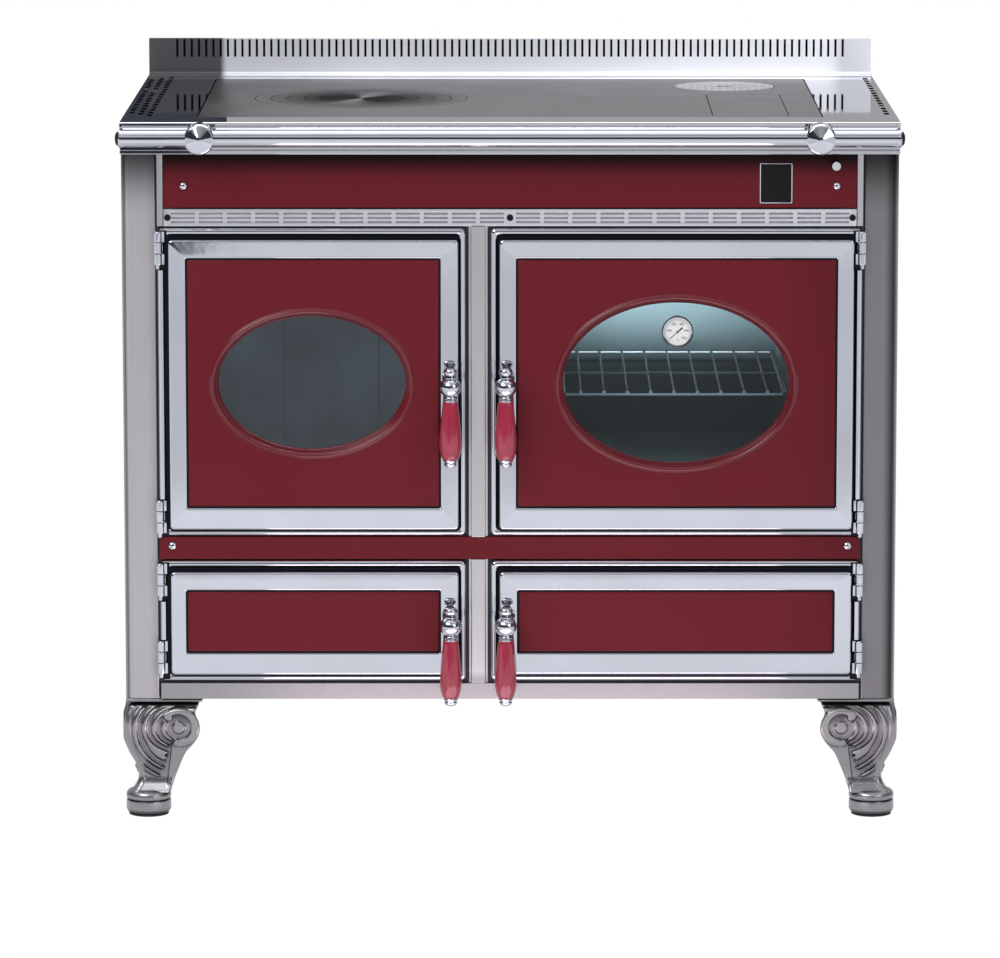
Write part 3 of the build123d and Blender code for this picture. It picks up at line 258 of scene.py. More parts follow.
def swept(name: str, rings: Sequence[Ring]) -> Piece:
    """A closed moulding through a row of rings and back to the first one.

    Args:
        name: the new object's name.
        rings: the rings, each with the same number of points in the same order.

    Returns:
        The new object, smooth but for its sharp edges.
    """
    obj = ring_shell(name, [*rings, list(rings[0])], first=False, last=False)
    soften(obj, MOULDING_ANGLE)
    return obj


def smooth_through(points: Profile, steps: int = 4) -> list[Pair]:
    """A smooth line through a few points, for a turned or swept profile.

    Args:
        points: the points to pass through.
        steps: pieces between each pair of points.

    Returns:
        The points along the line, both ends among them.
    """
    padded = [points[0], *points, points[-1]]
    line = []
    for start in range(len(points) - 1):
        before, low, high, after = padded[start:start + 4]
        for step in range(steps):
            t = step / steps
            line.append(tuple(
                0.5 * (2 * low[i] + (high[i] - before[i]) * t
                       + (2 * before[i] - 5 * low[i] + 4 * high[i] - after[i]) * t ** 2
                       + (3 * low[i] - before[i] - 3 * high[i] + after[i]) * t ** 3)
                for i in (0, 1)
            ))
    line.append(tuple(points[-1]))
    return line


def arc(centre: Pair, radius: float, start: float, end: float, steps: int = 6) -> list[Pair]:
    """Points along an arc, angles in degrees from the first coordinate's direction."""
    angles = [math.radians(start + (end - start) * step / steps) for step in range(steps + 1)]
    return [(centre[0] + radius * math.cos(a), centre[1] + radius * math.sin(a)) for a in angles]


def turned(name: str, profile: Profile, centre: Vector, axis: Axis, steps: int = 40) -> Piece:
    """A piece turned on a lathe.

    Args:
        name: the new object's name.
        profile: points of (radius, distance along the axis) in millimetres.
        centre: the point on the axis where the distance is nought, in metres.
        axis: the direction of the axis.
        steps: points round each ring.

    Returns:
        The new object.
    """
    turn = Vector((0.0, 0.0, 1.0)).rotation_difference(Vector(axis.value)).to_matrix()
    rings = []
    for radius, along in profile:
        reach = max(radius, 0.002) * MM
        rings.append([
            centre + turn @ Vector((
                reach * math.cos(2 * math.pi * step / steps),
                reach * math.sin(2 * math.pi * step / steps),
                along * MM,
            ))
            for step in range(steps)
        ])
    obj = ring_shell(name, rings)
    soften(obj)
    return obj


def block(name: str, low: Vector, high: Vector, rounding: float = 0.5, segments: int = 2) -> Piece:
    """A box between two corners with rounded edges.

    Args:
        name: the new object's name.
        low: the lowest corner in metres.
        high: the highest corner in metres.
        rounding: the edges' rounding in millimetres.
        segments: faces across each rounding.

    Returns:
        The new object.
    """
    deselect()
    bpy.ops.mesh.primitive_cube_add(size=1.0, location=(low + high) / 2, scale=high - low)
    obj = bpy.context.object
    obj.name = name
    fix(obj)
    with editing(obj):
        bpy.ops.mesh.select_all(action="SELECT")
        bpy.ops.mesh.bevel(offset=rounding * MM, segments=segments, affect="EDGES", clamp_overlap=True)
    soften(obj)
    return obj


def joined(name: str, pieces: Sequence[Piece]) -> Piece:
    """Joins several objects into one.

    Args:
        name: the name of the result.
        pieces: the objects, at least one.

    Returns:
        The joined object.
    """
    deselect()
    for piece in pieces:
        piece.select_set(True)
    bpy.context.view_layer.objects.active = pieces[0]
    if len(pieces) > 1:
        bpy.ops.object.join()
    pieces[0].name = name
    return pieces[0]


def mirrored(obj: Piece, name: str, across: Vector, about: Vector = Vector((0, 0, 0))) -> Piece:
    """A mirror copy of an object with its own mesh, its faces turned out again.

    Args:
        obj: the object to copy.
        name: the copy's name.
        across: the direction that is turned round, a unit vector along one axis.
        about: a point on the mirror plane.

    Returns:
        The copy.
    """
    copy = bpy.data.objects.new(name, obj.data.copy())
    bpy.context.collection.objects.link(copy)
    turn = Matrix.Identity(4)
    for i in range(3):
        turn[i][i] = 1.0 - 2.0 * abs(across[i])
        turn[i][3] = 2.0 * abs(across[i]) * about[i]
    copy.data.transform(turn)
    close_up(copy)
    return copy


def carve(obj: Piece, cutter: Piece) -> None:
    """Takes the cutter's solid out of an object and deletes the cutter.

    Args:
        obj: the object that is cut.
        cutter: the closed solid that is taken away.
    """
    apply_modifier(obj, "BOOLEAN", operation="DIFFERENCE", object=cutter, solver="EXACT")
    bpy.data.objects.remove(cutter, do_unlink=True)


class Shop:
    """Hands finished pieces over to the frame."""

    def __init__(self, frame: dict) -> None:
        """Keeps the frame and an empty list of pieces."""
        self.frame = frame
        self.pieces: list[str] = []

    def hand_over(
        self, obj: Piece, body: str, finish: Material, nodes: Sequence[str] = (),
    ) -> Piece:
        """Gives a piece its finish and its body.

        Args:
            obj: the finished piece.
            body: the CAD body that it rides on.
            finish: its material.
            nodes: the CAD nodes that it stands for.

        Returns:
            The piece.
        """
        obj.data.materials.clear()
        obj.data.materials.append(finish)
        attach(obj, body)
        if nodes:
            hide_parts(*nodes)
        self.pieces.append(obj.name)
        log.info("%s: %d faces on %s", obj.name, len(obj.data.polygons), body)
        return obj

    def body_of(self, node: str) -> str:
        """The body that a CAD node belongs to."""
        for body, nodes in self.frame["record"]["behaviour"]["bodies"].items():
            if node in nodes:
                return body
        raise KeyError(node)

    def paint(self, node: str, finish: Material) -> None:
        """Gives a CAD node that keeps its own shape its finish."""
        obj = self.frame["nodes"][node]
        obj.data.materials.clear()
        obj.data.materials.append(finish)

    def dressed(
        self, node: str, finish: Material, rounding: float, segments: int = 2, whole: bool = True,
    ) -> Piece:
        """A copy of a CAD node with its faces merged and its edges rounded, which stands for the node.

        Args:
            node: the CAD node.
            finish: the material.
            rounding: the edges' rounding in millimetres.
            segments: faces across each rounding.
            whole: whether the flat faces are made whole first, which a sheet full of slots can't take.

        Returns:
            The finished piece.
        """
        obj = self.merged_copy(node, f"{node}_skin", whole)
        round_edges(obj, rounding, segments)
        soften(obj)
        return self.hand_over(obj, self.body_of(node), finish, [node])

    def merged_copy(self, node: str, name: str, whole: bool) -> Piece:
        """A merged copy of a CAD node's mesh.

        Args:
            node: the CAD node.
            name: the copy's name.
            whole: whether its flat faces are made whole again.

        Returns:
            The copy.
        """
        obj = bpy.data.objects.new(name, self.frame["nodes"][node].data.copy())
        bpy.context.collection.objects.link(obj)
        with editing(obj):
            bpy.ops.mesh.select_all(action="SELECT")
            bpy.ops.mesh.remove_doubles(threshold=1e-6)
            if whole:
                bpy.ops.mesh.dissolve_limited(angle_limit=math.radians(0.5))
        return obj


# --------------------------------------------------------------- finishes


def grey(level: float, blue: float = 1.0) -> Triple:
    """A grey of some level, with its blue raised or lowered by a factor."""
    return (level, level, level * blue)


@dataclass(frozen=True)
class PaintedShading:
    """Painted light or shade along one axis, in millimetres: a colour factor of 1 at the start and the factor
    at the end.
    """

    axis: int
    start: float
    end: float
    factor: float
    front_only: bool = False

    def at(self, value: float) -> float:
        """The object's coordinate in metres for a place along the axis."""
        return (value + (FRONT if self.axis == 1 else 0.0)) * MM


class Wiring:
    """A node tree, and short calls that add nodes to it."""

    def __init__(self, tree: bpy.types.NodeTree) -> None:
        """Keeps the tree that the calls add to."""
        self.tree = tree

    def feed(self, socket: Socket, value: Value) -> None:
        """Links an input to another node's socket, or sets it to a constant."""
        if isinstance(value, bpy.types.NodeSocket):
            self.tree.links.new(value, socket)
        else:
            socket.default_value = value

    def add(
        self, kind: str, inputs: dict[str | int, Value] | None = None, **settings: object,
    ) -> bpy.types.Node:
        """Adds a node.

        Args:
            kind: the node's type after ShaderNode.
            inputs: what its inputs are fed, by name or number.
            **settings: its properties, which are set before its inputs.

        Returns:
            The node.
        """
        node = self.tree.nodes.new(f"ShaderNode{kind}")
        for key, value in settings.items():
            setattr(node, key, value)
        for key, value in (inputs or {}).items():
            self.feed(node.inputs[key], value)
        return node

    def maths(self, operation: str, *values: Value, **settings: object) -> Socket:
        """The result of a sum on one or two values."""
        return self.add("Math", dict(enumerate(values)), operation=operation, **settings).outputs[0]

    def vector(self, operation: str, output: str, *values: Value) -> Socket:
        """An output of a vector sum."""
        return self.add("VectorMath", dict(enumerate(values)), operation=operation).outputs[output]

    def scaled(self, colour: Socket, factor: Socket) -> Socket:
        """A colour times a factor."""
        return self.add("VectorMath", {0: colour, "Scale": factor}, operation="SCALE").outputs["Vector"]

    def spread(
        self, value: Socket, low: float, high: float, start: float = 0.0, end: float = 1.0,
        soft: bool = False,
    ) -> Socket:
        """Maps a value from one span to another.

        Args:
            value: the value.
            low: the result at the start.
            high: the result at the end.
            start: the value at the start.
            end: the value at the end.
            soft: whether it eases in and out.

        Returns:
            The result.
        """
        ends = {"Value": value, "From Min": start, "From Max": end, "To Min": low, "To Max": high}
        kind = "SMOOTHSTEP" if soft else "LINEAR"
        return self.add("MapRange", ends, interpolation_type=kind).outputs["Result"]

    def mixed(self, factor: Socket, first: Value, second: Value, kind: str = "RGBA") -> Socket:
        """Mixes two values: the first where the factor is 0 and the second where it is 1."""
        return self.add("Mix", {"Factor": factor, "A": first, "B": second}, data_type=kind).outputs["Result"]

    def tint(self, value: Socket, low: Triple, high: Triple) -> Socket:
        """Mixes two colours by a value from 0 to 1."""
        return self.mixed(value, (*low, 1.0), (*high, 1.0))

    def axes(self, vector: Socket) -> bpy.types.bpy_prop_collection:
        """The outputs X, Y and Z of a vector that is taken apart."""
        return self.add("SeparateXYZ", {0: vector}).outputs

    def ramp(self, value: Socket, stops: Sequence[tuple[float, Triple]]) -> Socket:
        """A colour that follows a value.

        Args:
            value: the value.
            stops: positions and colours, from the first to the last.

        Returns:
            The colour.
        """
        node = self.add("ValToRGB", {"Fac": value})
        elements = node.color_ramp.elements
        for element, (position, colour) in zip(elements, (stops[0], stops[-1])):
            element.position = position
            element.color = (*colour, 1.0)
        for position, colour in stops[1:-1]:
            elements.new(position).color = (*colour, 1.0)
        return node.outputs["Color"]


class Sheet(Wiring):
    """A material with its Principled shader."""

    def __init__(self, name: str) -> None:
        """Makes the material and its shader."""
        self.material = bpy.data.materials.new(name)
        self.material.use_nodes = True
        super().__init__(self.material.node_tree)
        self.shader = self.tree.nodes["Principled BSDF"]
        self.place_out = self.add("TexCoord").outputs["Object"]

    def set(self, **values: Value) -> Material:
        """Feeds the shader's inputs.

        Args:
            **values: what they are fed, by name with underscores for the spaces.

        Returns:
            The material.
        """
        for key, value in values.items():
            self.feed(self.shader.inputs[key.replace("_", " ")], value)
        return self.material

    def mapped(self, stretch: Sequence[float], centre: Sequence[float] = ORIGIN) -> Socket:
        """Object coordinates about a centre, stretched.

        Args:
            stretch: factors along x, y and z.
            centre: the point in metres that becomes the middle of the pattern.

        Returns:
            The mapped vector.
        """
        place_in = tuple(-c * s for c, s in zip(centre, stretch))
        inputs = {"Scale": tuple(stretch), "Location": place_in, "Vector": self.place_out}
        return self.add("Mapping", inputs, vector_type="POINT").outputs["Vector"]

    def group(
        self, tree: bpy.types.NodeTree, stretch: Sequence[float] = EVEN, centre: Sequence[float] = ORIGIN,
        **values: float,
    ) -> bpy.types.bpy_prop_collection:
        """Places a shared group on the material.

        Args:
            tree: the node group.
            stretch: factors along x, y and z for its pattern.
            centre: the point in metres that becomes the middle of its pattern.
            **values: its other inputs by name.

        Returns:
            The group's outputs, Value and Height.
        """
        return self.add("Group", {"Vector": self.mapped(stretch, centre), **values}, node_tree=tree).outputs

    def with_painted_shades(self, colour: Socket, painted_shades: Sequence[PaintedShading]) -> Socket:
        """Paints light and shade into a colour along the object's axes.

        Args:
            colour: the colour before.
            painted_shades: where the painted light and shade fall and how strong they are.

        Returns:
            The colour after.
        """
        for shade in painted_shades:
            along = self.axes(self.place_out)[shade.axis]
            amount = self.spread(along, 1.0, shade.factor, shade.at(shade.start), shade.at(shade.end), True)
            colour = self.scaled(colour, self.facing_only(amount) if shade.front_only else amount)
        return colour

    def facing_only(self, amount: Socket) -> Socket:
        """Keeps a factor on faces that look forwards and gives 1 on all others."""
        facing = self.axes(self.add("TexCoord").outputs["Normal"])["Y"]
        return self.mixed(self.spread(facing, 1.0, 0.0, -0.9, -0.5), 1.0, amount, "FLOAT")

    def openness(self, reach: float, low: float, high: float, start: float, end: float) -> Socket:
        """How open the surface lies within a reach in millimetres, mapped from start..end to low..high."""
        hollows = self.add("AmbientOcclusion", {"Distance": reach * MM}, samples=6)
        return self.spread(hollows.outputs["AO"], low, high, start, end)

    def bump(self, height: Socket, strength: float, distance: float) -> None:
        """Feeds a height to the shader's normal, after any bump that is there already.

        Args:
            height: the height, from 0 to 1.
            strength: the bump's strength.
            distance: the height's reach in millimetres.
        """
        inputs = {"Strength": strength, "Distance": distance * MM, "Height": height}
        before = self.shader.inputs["Normal"]
        if before.is_linked:
            inputs["Normal"] = before.links[0].from_socket
        self.feed(before, self.add("Bump", inputs).outputs["Normal"])


class Groups:
    """The shader node groups that several finishes share, each made once."""

    def __init__(self) -> None:
        """Builds every group."""
        self.grain = self.noise_group("Grain", 60.0, 5.0)
        self.clouds = self.noise_group("Clouding", 6.0, 3.0)
        self.strokes = self.noise_group("Brush strokes", 1.0, 4.0)
        self.rounds = self.ring_group()

    @staticmethod
    def opened(name: str, **numbers: float) -> tuple[Wiring, bpy.types.Node, bpy.types.Node]:
        """Starts a group.

        Args:
            name: the group's name.
            **numbers: its inputs beside Vector, with their first values.

        Returns:
            The group's wiring, its input node and its output node, with outputs Value and Height.
        """
        tree = bpy.data.node_groups.new(name, "ShaderNodeTree")
        tree.interface.new_socket("Vector", in_out="INPUT", socket_type="NodeSocketVector")
        for label, value in numbers.items():
            tree.interface.new_socket(
                label, in_out="INPUT", socket_type="NodeSocketFloat",
            ).default_value = value
        for label in ("Value", "Height"):
            tree.interface.new_socket(label, in_out="OUTPUT", socket_type="NodeSocketFloat")
        return Wiring(tree), tree.nodes.new("NodeGroupInput"), tree.nodes.new("NodeGroupOutput")

    def noise_group(self, name: str, scale: float, detail: float) -> bpy.types.NodeTree:
        """A group that gives a soft random value over the surface.

        Args:
            name: the group's name.
            scale: the pattern's first scale.
            detail: the pattern's detail.

        Returns:
            The group.
        """
        wiring, given, results = self.opened(name, Scale=scale, Contrast=1.0)
        inputs = {"Vector": given.outputs["Vector"], "Scale": given.outputs["Scale"], "Detail": detail}
        noise = wiring.add("TexNoise", inputs).outputs["Fac"]
        away = wiring.maths("MULTIPLY", wiring.maths("SUBTRACT", noise, 0.5), given.outputs["Contrast"])
        wiring.feed(results.inputs["Value"], wiring.maths("ADD", away, 0.5, use_clamp=True))
        wiring.feed(results.inputs["Height"], noise)
        return wiring.tree

    def ring_group(self) -> bpy.types.NodeTree:
        """A group that gives the fine circular marks of a lathe about the vector's middle."""
        wiring, given, results = self.opened("Lathe marks", Scale=900.0)
        radius = wiring.vector("LENGTH", "Value", given.outputs["Vector"])
        inputs = {"W": radius, "Scale": given.outputs["Scale"], "Detail": 3.0}
        noise = wiring.add("TexNoise", inputs, noise_dimensions="1D").outputs["Fac"]
        for socket in (results.inputs["Value"], results.inputs["Height"]):
            wiring.feed(socket, noise)
        return wiring.tree


def dimmed(colour: Triple, factor: float) -> Triple:
    """A colour times a factor."""
    return tuple(factor * value for value in colour)


class Direction(Enum):
    """The way that a brushed sheet's strokes run, as the pattern's scale along x, y and z."""

    ACROSS = (6.0, 1400.0, 1400.0)
    UP = (1400.0, 1400.0, 6.0)


@dataclass(frozen=True)
class Enamel:
    """Glossy coloured enamel on sheet steel, with a faint ripple."""

    name: str
    colour: Triple
    shade: Triple
    roughness: float = 0.36
    coat: float = 0.0
    painted_shades: tuple[PaintedShading, ...] = ()

    def material(self, groups: Groups) -> Material:
        """Makes the material from the shared groups."""
        sheet = Sheet(self.name)
        clouds = sheet.group(groups.clouds, Scale=3.5, Contrast=2.0)["Value"]
        sheet.bump(sheet.group(groups.grain, Scale=240.0)["Height"], 0.05, 0.3)
        return sheet.set(
            Base_Color=sheet.with_painted_shades(sheet.tint(clouds, self.shade, self.colour), self.painted_shades),
            Roughness=sheet.spread(clouds, self.roughness - 0.04, self.roughness + 0.04),
            Coat_Weight=self.coat, Coat_Roughness=0.05, Specular_IOR_Level=0.13,
        )


@dataclass(frozen=True)
class BrushedSheet:
    """Stainless sheet with fine strokes in one direction."""

    name: str
    direction: Direction
    colour: Triple
    shade: Triple
    roughness: float
    depth: float
    metallic: float = 1.0
    painted_shades: tuple[PaintedShading, ...] = ()

    def material(self, groups: Groups) -> Material:
        """Makes the material from the shared groups."""
        sheet = Sheet(self.name)
        strokes = sheet.group(groups.strokes, self.direction.value, Scale=1.0, Contrast=1.2)
        clouds = sheet.group(groups.clouds, Scale=5.0, Contrast=1.6)["Value"]
        sheet.bump(strokes["Height"], self.depth, 0.02)
        return sheet.set(
            Base_Color=sheet.with_painted_shades(sheet.tint(strokes["Value"], self.shade, self.colour), self.painted_shades),
            Roughness=sheet.spread(clouds, self.roughness * 0.8, self.roughness * 1.2),
            Metallic=self.metallic,
        )


@dataclass(frozen=True)
class Plating:
    """Polished chrome over a casting, a little wavy."""

    name: str
    colour: Triple = (0.59, 0.61, 0.67)
    roughness: float = 0.06
    waves: float = 0.22

    def material(self, groups: Groups) -> Material:
        """Makes the material from the shared groups."""
        sheet = Sheet(self.name)
        clouds = sheet.group(groups.clouds, Scale=9.0, Contrast=2.0)["Value"]
        sheet.bump(sheet.group(groups.clouds, Scale=22.0)["Height"], self.waves, 0.5)
        return sheet.set(
            Base_Color=sheet.tint(clouds, dimmed(self.colour, 0.9), self.colour),
            Roughness=sheet.spread(clouds, self.roughness * 0.7, self.roughness * 1.5), Metallic=1.0,
        )


@dataclass(frozen=True)
class Casting:
    """Cast iron with a fine sand grain, and painted shade darkening its hollows."""

    name: str
    colour: Triple
    hollow_shade: Triple
    roughness: float
    metallic: float = 0.9
    grain: float = 0.5
    reach: float = 9.0

    def material(self, groups: Groups) -> Material:
        """Makes the material from the shared groups."""
        sheet = Sheet(self.name)
        grain = sheet.group(groups.grain, Scale=900.0, Contrast=1.5)
        clouds = sheet.group(groups.clouds, Scale=26.0, Contrast=1.8)
        sheet.bump(grain["Height"], self.grain, 0.08)
        sheet.bump(clouds["Height"], self.grain, 0.25)
        return sheet.set(
            Base_Color=sheet.tint(sheet.openness(self.reach, 0.0, 1.0, 0.5, 1.0), self.hollow_shade, self.colour),
            Roughness=sheet.spread(clouds["Value"], self.roughness - 0.07, self.roughness + 0.09),
            Metallic=self.metallic,
        )


@dataclass(frozen=True)
class GroundIron:
    """Ground hob iron, with straight or circular machining marks and painted shade in the gaps between the
    lids.
    """

    name: str
    centre: Pair | None
    colour: Triple
    roughness: float = 0.36
    depth: float = 0.3
    reach: float = 134.0
    # how dark the painted sheen makes the middle of the turned plate; 1 for none
    dark: float = 1.0
    painted_shades: tuple[PaintedShading, ...] = ()

    @property
    def middle(self) -> Vector:
        """The middle of the turned plate on the hob's face."""
        return place(self.centre[0], self.centre[1], HOB_HEIGHT)

    def material(self, groups: Groups) -> Material:
        """Makes the material from the shared groups."""
        sheet = Sheet(self.name)
        if self.centre is None:
            marks = sheet.group(groups.strokes, (14, 900, 900), Scale=1.0, Contrast=1.4)
        else:
            marks = sheet.group(groups.rounds, FLAT, self.middle, Scale=1300.0)
        clouds = sheet.group(groups.clouds, Scale=7.0, Contrast=2.2)["Value"]
        # painted shade in the gaps between the lids, on the colour and the specular tint
        tone = sheet.openness(3.0, 0.02, 1.0, 0.5, 0.97)
        if self.centre is not None and self.dark < 1.0:
            tone = sheet.maths("MULTIPLY", tone, self.painted_sheen(sheet))
        colour = sheet.scaled(sheet.tint(clouds, dimmed(self.colour, 0.75), self.colour), tone)
        sheet.bump(marks["Height"], self.depth, 0.05)
        return sheet.set(
            Base_Color=sheet.with_painted_shades(colour, self.painted_shades), Specular_Tint=tone,
            Roughness=sheet.spread(clouds, self.roughness - 0.06, self.roughness + 0.06), Metallic=0.95,
        )

    def painted_sheen(self, sheet: Sheet) -> Socket:
        """The painted sheen of a turned plate: painted shade darker to the middle, with a painted highlight
        in a bow tie across it.

        Args:
            sheet: the plate's material.

        Returns:
            The factor for its tone.
        """
        flat = sheet.mapped(FLAT, self.middle)
        radius = sheet.vector("LENGTH", "Value", flat)
        outward = sheet.spread(radius, self.dark, 1.0, 0.3 * self.reach * MM, 1.08 * self.reach * MM)
        inward = sheet.spread(radius, 1.6, 0.0, 0.0, 0.8 * self.reach * MM)
        across = sheet.vector(
            "DOT_PRODUCT", "Value", sheet.vector("NORMALIZE", "Vector", flat), (0.26, 0.966, 0.0),
        )
        wedge = sheet.maths("POWER", sheet.maths("ABSOLUTE", across), 14.0)
        return sheet.maths("ADD", outward, sheet.maths("MULTIPLY", wedge, inward))


@dataclass(frozen=True)
class Lacquer:
    """Turned wood under a deep glossy lacquer, its grain just showing."""

    name: str
    colour: Triple
    grain_colour: Triple

    def material(self, groups: Groups) -> Material:
        """Makes the material from the shared groups."""
        sheet = Sheet(self.name)
        grain = sheet.group(groups.strokes, (420, 420, 18), Scale=1.0, Contrast=2.4)
        sheet.bump(grain["Height"], 0.06, 0.05)
        return sheet.set(
            Base_Color=sheet.tint(grain["Value"], self.grain_colour, self.colour),
            Roughness=sheet.spread(grain["Value"], 0.3, 0.2),
            Coat_Weight=1.0, Coat_Roughness=0.03, Specular_IOR_Level=0.2,
        )


@dataclass(frozen=True)
class ClearGlass:
    """Heat-resistant glass with a slight tint."""

    name: str
    colour: Triple = (0.66, 0.8, 0.88)
    ior: float = 1.45

    def material(self, groups: Groups) -> Material:
        """Makes the material from the shared groups."""
        sheet = Sheet(self.name)
        clouds = sheet.group(groups.clouds, Scale=4.0, Contrast=1.5)["Value"]
        return sheet.set(
            Base_Color=sheet.tint(clouds, dimmed(self.colour, 0.92), self.colour),
            Roughness=sheet.spread(clouds, 0.0, 0.03), Transmission_Weight=1.0, IOR=self.ior,
        )


@dataclass(frozen=True)
class Firebrick:
    """Rough fireclay with sandy specks and smoke from the fire."""

    name: str
    colour: Triple = (0.15, 0.19, 0.24)
    smoke: Triple = (0.05, 0.07, 0.095)

    def material(self, groups: Groups) -> Material:
        """Makes the material from the shared groups."""
        sheet = Sheet(self.name)
        clouds = sheet.group(groups.clouds, Scale=9.0, Contrast=3.0)["Value"]
        grain = sheet.group(groups.grain, Scale=420.0, Contrast=1.5)
        sheet.bump(grain["Height"], 0.4, 0.4)
        return sheet.set(
            Base_Color=sheet.tint(clouds, self.smoke, self.colour),
            Roughness=sheet.spread(grain["Value"], 0.75, 0.95),
        )


@dataclass(frozen=True)
class Matt:
    """A matt coating or rubber with a fine grain."""

    name: str
    colour: Triple
    roughness: float
    metallic: float = 0.0
    specular: float = 0.5
    painted_shades: tuple[PaintedShading, ...] = ()

    def material(self, groups: Groups) -> Material:
        """Makes the material from the shared groups."""
        sheet = Sheet(self.name)
        grain = sheet.group(groups.grain, Scale=700.0, Contrast=1.5)
        clouds = sheet.group(groups.clouds, Scale=8.0, Contrast=2.0)["Value"]
        sheet.bump(grain["Height"], 0.25, 0.1)
        return sheet.set(
            Base_Color=sheet.with_painted_shades(sheet.tint(clouds, dimmed(self.colour, 0.8), self.colour), self.painted_shades),
            Roughness=sheet.spread(grain["Value"], self.roughness - 0.08, self.roughness + 0.08),
            Metallic=self.metallic, Specular_IOR_Level=self.specular,
        )


class Finishes:
    """Every finish of the stove, made once."""

    def __init__(self) -> None:
        """Builds the materials."""
        groups = Groups()
        burgundy = (0.141, 0.0102, 0.0172)
        deep = (0.118, 0.0086, 0.0148)
        # painted shade: the burgundy enamel darkens towards the stove's right
        painted_shade_right = PaintedShading(0, 330.0, 450.0, 0.78)
        self.burgundy = Enamel("Burgundy enamel", burgundy, deep, painted_shades=(painted_shade_right,)).material(groups)
        self.rim = Enamel("Burgundy enamel rim", burgundy, deep, 0.3, 0.7).material(groups)
        # painted shadow under the worktop's overhang: the fascia enamel darkens towards its top
        self.fascia = Enamel(
            "Burgundy enamel fascia", (0.118, 0.0088, 0.0152), deep, painted_shades=(PaintedShading(2, 836.0, 868.0, 0.03),),
        ).material(groups)
        # painted shadow under the worktop: the silver sheets darken towards their top
        painted_shade_under_top = PaintedShading(2, 785.0, 876.0, 0.14)
        silver = ((0.5, 0.49, 0.51), (0.43, 0.42, 0.44), 0.42, 0.06)
        self.silver = BrushedSheet(
            "Satin silver sheet", Direction.UP, *silver, painted_shades=(painted_shade_under_top,),
        ).material(groups)
        # painted light and shade on the left front flange: a dark painted reflection along its bent outer
        # edge and a lighter band inside it
        self.silver_left = BrushedSheet(
            "Satin silver sheet left", Direction.UP, *silver,
            painted_shades=(painted_shade_under_top, PaintedShading(0, -493.0, -496.5, 0.04, True), PaintedShading(0, -455.0, -470.0, 1.22, True)),
        ).material(groups)
        # painted shade on the right front flange: darker on its forward face and a dark painted reflection
        # along its bent outer edge
        self.silver_right = BrushedSheet(
            "Satin silver sheet right", Direction.UP, *silver,
            painted_shades=(painted_shade_under_top, PaintedShading(1, 10.0, 0.0, 0.56, True), PaintedShading(0, 480.0, 497.0, 0.06, True)),
        ).material(groups)
        # painted shade: the worktop steel darkens down its apron
        self.steel_across = BrushedSheet(
            "Bright stainless", Direction.ACROSS, (0.63, 0.64, 0.68), (0.58, 0.59, 0.62), 0.035, 0.008,
            painted_shades=(PaintedShading(2, 902.0, 894.0, 0.72),),
        ).material(groups)
        # painted reflections on the upstand: lighter towards the right, darker towards the left, dark at the
        # left end and darker at the right end
        self.upstand = BrushedSheet(
            "Bright stainless upstand", Direction.ACROSS, (0.86, 0.87, 0.92), (0.8, 0.81, 0.86), 0.3, 0.02,
            0.35,
            (
                PaintedShading(0, -100.0, 420.0, 1.42), PaintedShading(0, -150.0, -385.0, 0.8), PaintedShading(0, -391.0, -402.0, 0.13),
                PaintedShading(0, 436.0, 462.0, 0.72),
            ),
        ).material(groups)
        self.chrome = Plating("Chrome plate").material(groups)
        # painted shade: the trim darkens down onto the plinth strip
        self.trim = BrushedSheet(
            "Satin trim", Direction.UP, (0.62, 0.61, 0.63), (0.52, 0.51, 0.53), 0.3, 0.05,
            painted_shades=(PaintedShading(2, 196.0, 184.0, 0.66),),
        ).material(groups)
        self.grille = BrushedSheet(
            "Satin grille", Direction.ACROSS, (0.82, 0.82, 0.87), (0.72, 0.72, 0.77), 0.3, 0.03,
        ).material(groups)
        self.leg_iron = Casting(
            "Silvered cast iron", (0.37, 0.36, 0.375), (0.02, 0.018, 0.02), 0.27, reach=12.0,
        ).material(groups)
        self.grate_iron = Casting(
            "Black cast iron", (0.06, 0.06, 0.065), (0.01, 0.01, 0.01), 0.6, 0.6, 0.8,
        ).material(groups)
        # painted shade: the hob plate darkens towards the left
        self.hob = GroundIron(
            "Hob iron ground straight", None, (0.175, 0.162, 0.167), painted_shades=(PaintedShading(0, -150.0, -400.0, 0.6),),
        ).material(groups)
        self.hob_round = GroundIron(
            "Hob iron turned", (-198.0, 311.0), (0.135, 0.128, 0.132), 0.32, dark=0.12,
        ).material(groups)
        self.cap_round = GroundIron(
            "Flue cap turned", (291.0, 481.0), (0.45, 0.44, 0.46), 0.22, 0.2,
        ).material(groups)
        self.grip = Lacquer(
            "Burgundy lacquered wood", (0.37, 0.028, 0.06), (0.28, 0.018, 0.042),
        ).material(groups)
        self.glass = ClearGlass("Door glass").material(groups)
        self.oven_glass = ClearGlass("Oven glass", ior=1.26).material(groups)
        self.brick = Firebrick("Firebrick").material(groups)
        self.dark_steel = Matt("Dark stove paint", (0.03, 0.03, 0.032), 0.55, 0.3).material(groups)
        # painted shade: the oven lining darkens below its upper part
        self.oven_wall = Matt(
            "Oven lining", (0.38, 0.47, 0.48), 0.38, 0.4, painted_shades=(PaintedShading(2, 592.0, 515.0, 0.1),),
        ).material(groups)
        # lit and shaded copies of one wire: near white as a painted highlight, near black as painted shade
        self.wire_painted_lit = Matt("Bright wire", (0.9, 0.93, 0.93), 0.3, 0.2).material(groups)
        self.wire_painted_dark = Matt("Dull wire", (0.05, 0.06, 0.065), 0.5, 0.3, 0.2).material(groups)
